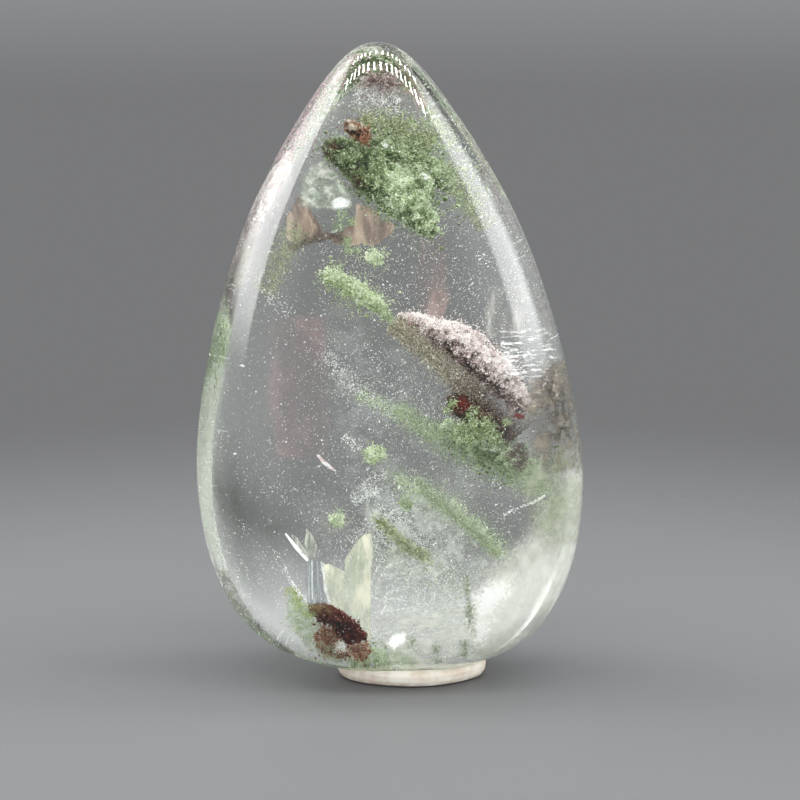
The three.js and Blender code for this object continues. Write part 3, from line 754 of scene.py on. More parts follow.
def growGrowth(node, facts, seed):
    random = np.random.default_rng(seed)
    core, coreFaces, ways, tones = growthCore(node, facts, seed)
    width, amount = growing["patches"]
    tones = tones + closeTo(core, facts["accents"]) + amount * softNoise(core, width, seed)
    a, b, c = (core[coreFaces[:, i]] for i in range(3))
    areas = np.linalg.norm(np.cross(b - a, c - a), axis=1)

    def scatter(count):  # places on the core, their outward ways and tones
        pick = random.choice(len(areas), count, p=areas / areas.sum())
        u, v = random.uniform(size=(2, count))
        over = u + v > 1
        u[over], v[over] = 1 - u[over], 1 - v[over]
        corner = coreFaces[pick]
        places = a[pick] + (b - a)[pick] * u[:, None] + (c - a)[pick] * v[:, None]
        return places, ways[corner[:, 0]], tones[corner].mean(1)

    def straying(count, most):  # places around the core, in flocks, at most this many
        places, out, near = scatter(count)
        outwards, sideways = growing["stray"]
        places = places + out * random.exponential(facts["stray"] * outwards, count)[:, None]
        places += random.normal(0, facts["stray"] * sideways, places.shape)
        flock, empty = growing["flocks"]
        kept = softNoise(places, flock, seed) + random.normal(0, 0.1, count) > empty
        kept &= depthIn(places, growing["margin"]) < 1
        return places[kept][:most], near[kept][:most]

    contrast, shade = facts["contrast"], facts["shade"]
    coreMiddle, crumbMiddle, crustShade, uneven, looseShade = growing["crustTones"]
    crust, out, crustTones = scatter(facts["crust"])
    width, rise, lighter = growing["crumbs"]
    crumbs = lobes(crust, width, seed + 9)
    crust = crust + out * (random.uniform(*growing["crustUneven"], facts["crust"]) + rise * crumbs)[:, None]
    # painted light on the crumbs' tops and painted shade between them; depth scales the core's painted
    # crease shade
    crustTones = facts["depth"] * (crustTones - coreMiddle) + lighter * (crumbs - crumbMiddle)
    crustTones += random.normal(crustShade + shade, uneven * contrast, facts["crust"])
    flakes, flakeWays, flakeTones = scatter(facts["flakes"] * 3)
    flakes = flakes + flakeWays * random.uniform(0, growing["flakeLift"], len(flakes))[:, None]
    light = flakeTones + random.normal(0, 0.1, len(flakes)) > growing["flakeLeast"]
    flakes, flakeTones = flakes[light][: facts["flakes"]], flakeTones[light][: facts["flakes"]]
    if facts["loose"]:
        crust = crust - out * random.uniform(-0.1, facts["loose"], len(crust))[:, None]
        wide, fine = growing["looseFlocks"]
        kept = softNoise(crust, wide, seed) + 0.6 * softNoise(crust, fine, seed) > facts["gaps"]
        crust, crustTones = crust[kept], looseShade + crustTones[kept]
    loose, looseTones = straying(facts["halo"] * 3, facts["halo"])
    haloShade, asCore, lighter = growing["haloTones"]
    looseTones = haloShade + asCore * looseTones + random.normal(lighter + shade, contrast, len(loose))
    count, low, high = facts["knobs"]
    lumps, lumpShadeTones = straying(count * 4, count)
    lumpMesh = knobMesh(random, lumps, low + (high - low) * random.uniform(size=len(lumps)) ** 2)
    lumpShadeTones = (lumpMesh[2] + growing["lumpShadeTones"][3] * (lumpShadeTones[:, None] - 0.4)).ravel()

    if facts["loose"]:
        core, coreFaces, tones = core[:0], coreFaces[:0], tones[:0]
    meshes = [(core, coreFaces), lumpMesh[:2]]
    for places, gain, squash in zip((crust, loose), growing["grainGains"], growing["grainShapes"]):
        sizes = random.uniform(*facts["grain"], len(places)) * gain
        meshes.append(grainMesh(random, places, sizes, squash))
    sizes = random.uniform(*facts["flake"], len(flakes))
    meshes.append(grainMesh(random, flakes, sizes, growing["flakeShape"]))
    flakeTones = 0.5 * flakeTones + random.uniform(*facts["flakeTone"], len(flakes))
    chipTones = [np.repeat(part, len(fourSided)) for part in (crustTones, looseTones, flakeTones)]
    points, faces = joinMeshes(meshes)
    width, ragged = growing["blots"]
    blots = closeTo(points, facts["stained"])
    blots = blots + ragged * softNoise(points, width, seed) * (len(facts["stained"]) > 0)
    low, high, strong = growing["stain"]
    written = {
        "tone": np.concatenate([tones, lumpShadeTones] + chipTones),
        "stain": strong * smoothStep(low, high, blots),
    }
    smooth = np.arange(len(faces)) < len(coreFaces)
    material = grainMaterial(facts["palette"], facts["stain"])
    finishPiece(newPiece(node + "_grains", points, faces, material, smooth, written), slotOf[node], node)


def joinMeshes(meshes):
    starts = np.cumsum([0] + [len(points) for points, _ in meshes])
    points = np.vstack([points for points, _ in meshes])
    faces = np.vstack([faces + start for (_, faces), start in zip(meshes, starts)])
    return points, faces


makeFamily(growths, usualGrowth, growGrowth, 100)
print("growths ready")

# dust belts: loose grains along a route of x, z in mm, at this depth y, or at one for each of its points.
# thick is their spread across it and deep from front to back, spots that of flocks round the points in its
# place, shallow how far they lie under the front skin, hug how far from the side skin; clumps are the width
# of the flocks and how much of the belt is empty
usualBelt = {
    "y": 0, "thick": 0.3, "deep": 0.3, "spots": 0, "shallow": None, "hug": 0, "size": (0.03, 0.06),
    "palette": "whiteDust", "stain": None, "clumps": (0.3, 0),
}
belts = {
    "sand_band_under_ledge": {
        "route": [(0.2, 34), (1.7, 32.7), (3.2, 31.3), (4.7, 29.8), (6.1, 28.3), (7.4, 26.9)], "y": -1,
        "thick": 0.85, "deep": 1.2, "grains": 8800, "size": (0.042, 0.095), "palette": "sandDust",
        "clumps": (0.5, -0.9),
    },
    "brown_fill_under_ledge": {
        "route": [(5.6, 28.6), (6.8, 27.6), (8.1, 26.2), (9.4, 24.9), (10.6, 23.5)], "y": -1.4,
        "thick": 0.9, "deep": 1.6, "grains": 4400, "size": (0.035, 0.075), "palette": "brownDust",
        "clumps": (0.6, -0.2),
    },
    "shelf_crest": {
        "route": [(6, 24.3), (6.4, 24.8), (7.3, 25.1), (8.3, 25.2), (8.7, 24.6), (7.8, 24.3), (9.2, 23.8),
            (6.9, 23.9)],
        "y": -4.6, "spots": 0.62, "grains": 2600, "size": (0.04, 0.1), "palette": "paleChlorite",
        "clumps": (0.4, 0.02),
    },
    "flecks_on_iron": {
        "route": [(5, 26.6), (5.5, 27.1), (7.3, 26.4), (6.9, 25.9), (10.1, 25.3)], "y": -4.6,
        "spots": 0.42, "grains": 700, "size": (0.035, 0.09), "palette": "paleChlorite",
        "clumps": (0.25, 0.05),
    },
    "brown_flocks_right": {
        "route": [(11, 22.7), (11.4, 22), (11.2, 21.3), (10.5, 22.3)], "y": -4, "spots": 0.6,
        "grains": 1300, "size": (0.03, 0.075), "palette": "brownDust",
    },
    "rust_dust_base": {
        "route": [(-5.7, 6.5), (-5.2, 6.3), (-6, 5.8), (-5.5, 5.6), (-4.8, 5.7)], "y": -4.3,
        "spots": 0.55, "grains": 1500, "size": (0.035, 0.085), "palette": "rust", "clumps": (0.3, -0.05),
    },
    "dust_thread_left": {
        "route": [(-1.9, 36), (-0.6, 34.9), (0.4, 33.8), (1.2, 33)], "y": -0.9, "deep": 0.6,
        "grains": 2200, "palette": "greenDust", "clumps": (0.5, -0.4),
    },
    "white_arc_middle": {
        "route": [(-5.3, 31.5), (-4.7, 30), (-3.8, 28.9), (-2.6, 27.7), (-1, 26.8), (0.5, 25.9)], "y": -2,
        "thick": 0.8, "deep": 1.2, "grains": 1300, "size": (0.02, 0.05), "clumps": (0.4, 0.15),
    },
    "pale_green_arc_middle": {
        "route": [(-2.8, 27.6), (-0.8, 26.6), (1, 25.8), (3, 24.6), (4.6, 23.6)], "y": -1.6, "thick": 0.6,
        "deep": 1, "grains": 2600, "palette": "greenDust", "clumps": (0.5, 0),
    },
    "green_band_middle": {
        "route": [(0.4, 25.8), (2.4, 24.2), (4.6, 22.6), (7.4, 21), (10.1, 19.4), (12.3, 18)],
        "y": [1.5, 1.5, 1.5, 1.5, 1.5, 1.2], "thick": 1, "deep": 1.8, "grains": 6000,
        "size": (0.033, 0.07), "palette": "greenDust", "clumps": (0.45, 0.02),
    },
    "green_wisp_left": {
        "route": [(-0.4, 20.6), (2.4, 19.6), (4.7, 17.8), (7.3, 15.6), (10.3, 12.6)], "y": -3,
        "thick": 0.9, "deep": 1.4, "grains": 3200, "size": (0.025, 0.055), "palette": "greyGreenDust",
        "clumps": (0.5, 0.05),
    },
    "streak_core": {
        "route": [(2.3, 20.1), (4, 18.2), (6, 16.4), (7.9, 14.6), (9.5, 12.9)], "y": -3.4, "thick": 0.34,
        "deep": 0.8, "grains": 3200, "size": (0.03, 0.065), "palette": "greyChlorite",
        "clumps": (0.4, -0.12),
    },
    "wisp_bright_flock": {
        "route": [(0.9, 18.2), (1.9, 17.5)], "y": -3.4, "thick": 0.45, "deep": 0.8, "grains": 900,
        "size": (0.03, 0.07), "palette": "greenDust", "clumps": (0.5, -0.1),
    },
    "white_arc_left": {
        "route": [(-3.4, 18.2), (-2.4, 19.2), (-1.5, 20), (-0.2, 20.3)], "y": -2, "thick": 0.5,
        "deep": 0.9, "grains": 300, "size": (0.025, 0.06), "clumps": (0.3, 0.05),
    },
    "white_arc_left_low": {
        "route": [(-3.2, 17.8), (-2.1, 18.3), (-1, 19)], "y": -2, "thick": 0.4, "deep": 0.9,
        "grains": 300, "size": (0.025, 0.06),
    },
    "white_thread_middle": {
        "route": [(-4, 23.8), (-3.3, 23.2), (-2.5, 22.5)], "y": -2, "thick": 0.4, "deep": 0.5,
        "grains": 170,
    },
    "dense_white_low": {
        "route": [(-1.3, 16.6), (1.2, 14), (3.2, 11.2), (4.6, 7.6)], "y": 1.5, "thick": 2.9, "deep": 2.4,
        "grains": 8000, "size": (0.018, 0.056), "clumps": (0.45, 0.1),
    },
    "green_specks_low": {
        "route": [(-0.5, 14), (3.2, 11.4), (6.4, 9.5)], "y": -0.5, "thick": 1.8, "deep": 1.8,
        "grains": 1500, "palette": "greenDust", "clumps": (0.9, 0.2),
    },
    "white_dust_tip": {
        "route": [(-3, 54.2), (-1.3, 53.8), (0.8, 53.6)], "y": -0.6, "thick": 0.9, "deep": 1.6,
        "grains": 900, "size": (0.02, 0.055), "clumps": (0.6, 0.05),
    },
    "green_haze_top": {
        "route": [(-2.4, 51.6), (-0.6, 51.4), (1.2, 50.8), (3, 49.6)], "y": [0.6, 0.6, 0.8, 0.9],
        "thick": 0.9, "deep": 1.3, "grains": 4300, "size": (0.035, 0.08), "palette": "oliveDust",
        "clumps": (0.8, 0.08),
    },
    "green_haze_right": {
        "route": [(3.6, 47.2), (4.8, 45.6), (6, 43.8), (7, 41.6)], "y": 1, "thick": 0.55, "deep": 1.3,
        "grains": 2600, "palette": "oliveDust", "clumps": (0.8, -0.05),
    },
    "olive_dust_left": {
        "route": [(-7.4, 42.6), (-8.2, 40.7), (-8.8, 39.3), (-9.5, 37.6), (-10, 36.4)], "y": -1,
        "thick": 0.8, "deep": 1.4, "grains": 3000, "palette": "oliveDust", "clumps": (0.6, -0.1),
    },
    "olive_dust_under_curtain": {
        "route": [(-8, 40.2), (-7, 40.9), (-5.8, 41.3), (-4.6, 41.5), (-3.3, 41.1)], "y": 0.4,
        "deep": 0.8, "grains": 2000, "palette": "brownDust", "clumps": (0.4, -0.15),
    },
    "white_flecks_left": {
        "route": [(-10.6, 37.1), (-9.5, 36.3), (-8.6, 34.6)], "y": -2.5, "thick": 0.9, "deep": 1,
        "grains": 80, "size": (0.03, 0.075), "clumps": (0.4, 0),
    },
    "brown_smudge_right": {
        "route": [(14.2, 30), (15.2, 28.6), (15.9, 26.4), (15.8, 23.6)], "thick": 1.5, "deep": 1,
        "shallow": (0.3, 1.6), "grains": 4500, "size": (0.028, 0.062), "palette": "brownDust",
        "clumps": (0.9, -0.05),
    },
    "green_haze_rim": {
        "route": [(15.6, 23), (15.3, 20), (15, 17.3), (14.3, 15.4)], "thick": 1.2, "deep": 1,
        "shallow": (0.3, 1), "grains": 2200, "size": (0.025, 0.05), "palette": "greyGreenDust",
        "clumps": (0.6, 0.05),
    },
    "green_streak_base": {
        "route": [(-8.6, 10.3), (-8.1, 8.9), (-7.3, 8.2), (-6.6, 7.6)], "y": -4, "thick": 0.55,
        "deep": 0.8, "grains": 1800, "size": (0.025, 0.06), "palette": "limeDust", "clumps": (0.4, 0.05),
    },
    "green_haze_base": {
        "route": [(-8.2, 8), (-7.2, 6.6), (-6, 5.4), (-4.4, 4.5)], "y": -2.4, "thick": 1.1, "deep": 1.2,
        "grains": 3100, "size": (0.025, 0.055), "palette": "greyGreenDust", "clumps": (0.5, 0.1),
    },
    "white_sparkle_base": {
        "route": [(-4.4, 5.9), (-4.2, 4.6)], "y": -2.8, "thick": 0.45, "deep": 0.6, "grains": 420,
        "size": (0.04, 0.1), "clumps": (0.4, -0.1),
    },
    "pink_skin_left": {
        "route": [(-3.6, 57), (-4.8, 55), (-6, 53), (-7.2, 51), (-8.2, 49)], "deep": 4.6, "hug": 0.22,
        "grains": 5000, "size": (0.04, 0.1), "palette": "pinkDust", "clumps": (0.5, -0.35),
    },
    "thread_dark_low": {
        "route": [(6.7, 11.4), (6.9, 9.1), (7.3, 7.7), (7.8, 5.9), (8, 4.6)], "y": -4.4, "thick": 0.26,
        "grains": 1300, "size": (0.02, 0.055), "palette": "oliveDust",
    },
    "thread_flakes_low": {
        "route": [(7, 8.6), (7.3, 7.4), (7.7, 6.1), (7.9, 5.2)], "y": -4.5, "thick": 0.5, "deep": 0.4,
        "grains": 420, "size": (0.05, 0.11), "palette": "chlorite", "clumps": (0.3, 0.15),
    },
    "green_dashes_foot": {
        "route": [(4.2, 4.7), (4.2, 3.6), (6.7, 5.1), (6.7, 4.2), (2, 5.4)], "y": -4, "spots": 0.5,
        "grains": 900, "palette": "chlorite", "clumps": (0.3, 0.1),
    },
    "lime_flecks_under_mass": {
        "route": [(-4, 43.6), (-3.2, 43), (-4.3, 42.6), (-3.6, 41.2), (-3.5, 40.5), (-2.8, 40.3)],
        "y": -1, "spots": 0.45, "grains": 1000, "size": (0.035, 0.075), "palette": "greenDust",
    },
    "pale_lumps_right": {
        "route": [(0.1, 51.8), (1.1, 51.1), (2.9, 50.4), (3.6, 48.9), (4.8, 47.1), (5.6, 45.3), (6, 44),
            (2.7, 48.4), (-0.9, 52), (-2.1, 51.7), (1.5, 49.6)],
        "y": 0.5, "spots": 1.5, "grains": 4200, "size": (0.04, 0.085), "palette": "paleChlorite",
        "clumps": (0.7, 0.2),
    },
    "white_glints_mass": {
        "route": [(-0.4, 50.3), (3, 47.3)], "y": [-3.2, -3], "spots": 0.26, "grains": 90,
        "size": (0.05, 0.09), "clumps": (0.5, -0.6),
    },
    "ochre_crumbs": {
        "route": [(-2.1, 51.6), (-2, 51.1), (-2.4, 50.8)], "y": -3.5, "spots": 0.36, "grains": 420,
        "size": (0.05, 0.1), "palette": "rust", "clumps": (0.4, -0.3),
    },
    "white_thread_right": {
        "route": [(11.9, 18.1), (12.6, 18.2), (13.2, 18.4), (13.9, 18.7), (14.2, 18.9)], "thick": 0.12,
        "deep": 0.2, "shallow": (0.25, 0.4), "grains": 260, "size": (0.025, 0.055), "clumps": (0.5, -0.5),
    },
    "dotted_thread_right": {
        "route": [(9.6, 16.9), (10.6, 17.5), (11.7, 18)], "thick": 0.16, "deep": 0.2,
        "shallow": (0.25, 0.5), "grains": 110, "size": (0.03, 0.07), "clumps": (0.3, 0.1),
    },
    "red_specks_right": {
        "route": [(10.4, 25.5), (11.2, 25.3)], "y": -2.4, "thick": 0.16, "grains": 120,
        "size": (0.06, 0.11), "palette": "iron", "stain": "red", "clumps": (0.5, -0.5),
    },
}


# what all dust shares: its spread across and from front to back, the corners and tones of its grains, and
# how far it stays under the skin
dusting = {"spread": (0.6, 0.5), "shape": (0.5, 1.6), "tones": (0.05, 0.95), "margin": 0.15}


def makeBelt(name, facts, seed):
    random = np.random.default_rng(seed)
    count = facts["grains"] * 3
    route = np.insert(np.array(facts["route"], float), 1, facts["y"], 1)
    steps = np.linalg.norm(np.diff(route, axis=0), axis=1)
    shares = np.concatenate([[0], np.cumsum(steps) / steps.sum()])
    at = np.interp(random.uniform(size=count), shares, np.arange(len(route)))
    piece = np.minimum(at.astype(int), len(route) - 2)
    along = route[piece + 1] - route[piece]
    across = np.stack([-along[:, 2], np.zeros(count), along[:, 0]], 1)
    across /= np.linalg.norm(across, axis=1)[:, None]
    points = route[piece] + along * (at - piece)[:, None]
    sideways, inwards = dusting["spread"]
    points += across * random.normal(0, facts["thick"] * sideways, count)[:, None]
    points[:, 1] += random.normal(0, facts["deep"] * inwards, count)
    if facts["spots"]:
        spot = random.integers(len(route), size=count)
        points = route[spot] + random.normal(0, facts["spots"] * inwards, (count, 3))
    middle, halfWidth, halfDepth = dropSection(points[:, 2])
    if facts["shallow"]:
        deep = skinShare(np.clip((points[:, 0] - middle) / halfWidth, -1, 1))
        points[:, 1] = -deep * (halfDepth - random.uniform(*facts["shallow"], count))
    if facts["hug"]:
        slope = np.sqrt(np.clip(1 - (points[:, 1] / halfDepth) ** 2, 0, 1))
        points[:, 0] = middle + np.sign(points[:, 0]) * (halfWidth * slope**0.8 - facts["hug"])
    flock, empty = facts["clumps"]
    kept = softNoise(points, flock, seed) + 0.6 * softNoise(points, flock * 0.35, seed) > empty
    points = points[kept & (depthIn(points, dusting["margin"]) < 1)][: facts["grains"]]
    sizes = random.uniform(*facts["size"], len(points))
    looks = (facts["palette"], facts["stain"], "chlorite")
    makeDust(random, name, points, sizes, dusting["shape"], dusting["tones"], *looks)


makeFamily(belts, usualBelt, makeBelt, 300)
print("belts ready")

# web: fine threads of specks that cross at random between two corners, each this long to either side
web = {
    "corners": ((-2.0, -0.5, 6.6), (5.0, 2.5, 17.0)),
    "threads": 24,
    "specks": 90,
    "long": (0.7, 2.4),
    "lie": (1, 0.4, 1.3),
    "thick": 0.05,
    "wave": (1.6, 0.5),
    "size": (0.02, 0.05),
    "margin": 0.4,
    "tones": (0.4, 1),
}


def makeWeb(name, seed):
    random = np.random.default_rng(seed)
    threads = web["threads"]
    start = random.uniform(*web["corners"], (threads, 3))
    way = random.normal(0, 1, (threads, 3)) * web["lie"]
    way /= np.linalg.norm(way, axis=1)[:, None]
    share = np.sort(random.uniform(-1, 1, (threads, web["specks"])), 1)
    length = random.uniform(*web["long"], threads)[:, None]
    points = (start[:, None] + way[:, None] * (share * length)[..., None]).reshape(-1, 3)
    width, rise = web["wave"]
    points += rise * np.stack([softNoise(points, width, seed + shift) for shift in range(3)], 1)
    points += random.normal(0, web["thick"], points.shape)
    points = points[depthIn(points, web["margin"]) < 1]
    sizes = random.uniform(*web["size"], len(points))
    makeDust(random, name, points, sizes, dusting["shape"], web["tones"])


# snow: bright specks right through the stone, thicker in slanting sheets, in flocks and low in the middle
snow = {
    "specks": 22000,
    "corners": ((-18, -10.5, 1.5), (18, 10.5, 58)),
    "margin": 0.6,
    "size": (0.014, 0.045),
    "big": 0.04,
    "bigSize": (0.05, 0.095),
    "slant": ((0.3, 0, -0.12), (0, 0.6, 0), (0.75, 0, 1)),
    "least": 0.06,
    "everywhere": 0.3,
    "sheets": (5.0, 0.9),  # how wide, how much
    "flocks": (1.3, 0.7),
    "specklings": (0.5, 0.5),
    "low": (20, 6, 0.3),  # from this height down to this one, how much more
    "middle": (11, 3, 0.3),  # the same for how far it is from this place along x
    "middleX": 2,
    "less": 0.15,
    "shape": (0.4, 1.9),
    "tones": (0.3, 1),
}


def makeSnow():
    random = np.random.default_rng(5)
    points = random.uniform(*snow["corners"], (snow["specks"] * 9, 3))
    points = points[depthIn(points, snow["margin"]) < 1]
    x, y, z = points.T
    slanted = np.stack([x * a + y * b + z * c for a, b, c in snow["slant"]], 1)
    thick = snow["everywhere"]
    for places, key in ((slanted, "sheets"), (points, "flocks"), (points, "specklings")):
        width, amount = snow[key]
        thick = thick + amount * softNoise(places, width)
    for key, distance in (("low", z), ("middle", abs(x - snow["middleX"]))):
        start, end, amount = snow[key]
        thick = thick + amount * smoothStep(start, end, distance)
    thick -= snow["less"]
    kept = random.uniform(size=len(points)) < snow["least"] + np.clip(thick, 0, 1)
    points = points[kept][: snow["specks"]]
    sizes = random.uniform(*snow["size"], len(points))
    big = random.uniform(size=len(points)) < snow["big"]
    sizes[big] = random.uniform(*snow["bigSize"], big.sum())
    makeDust(random, "white_snow", points, sizes, snow["shape"], snow["tones"])


makeWeb("white_web_low", 430)
makeSnow()
print("snow ready")

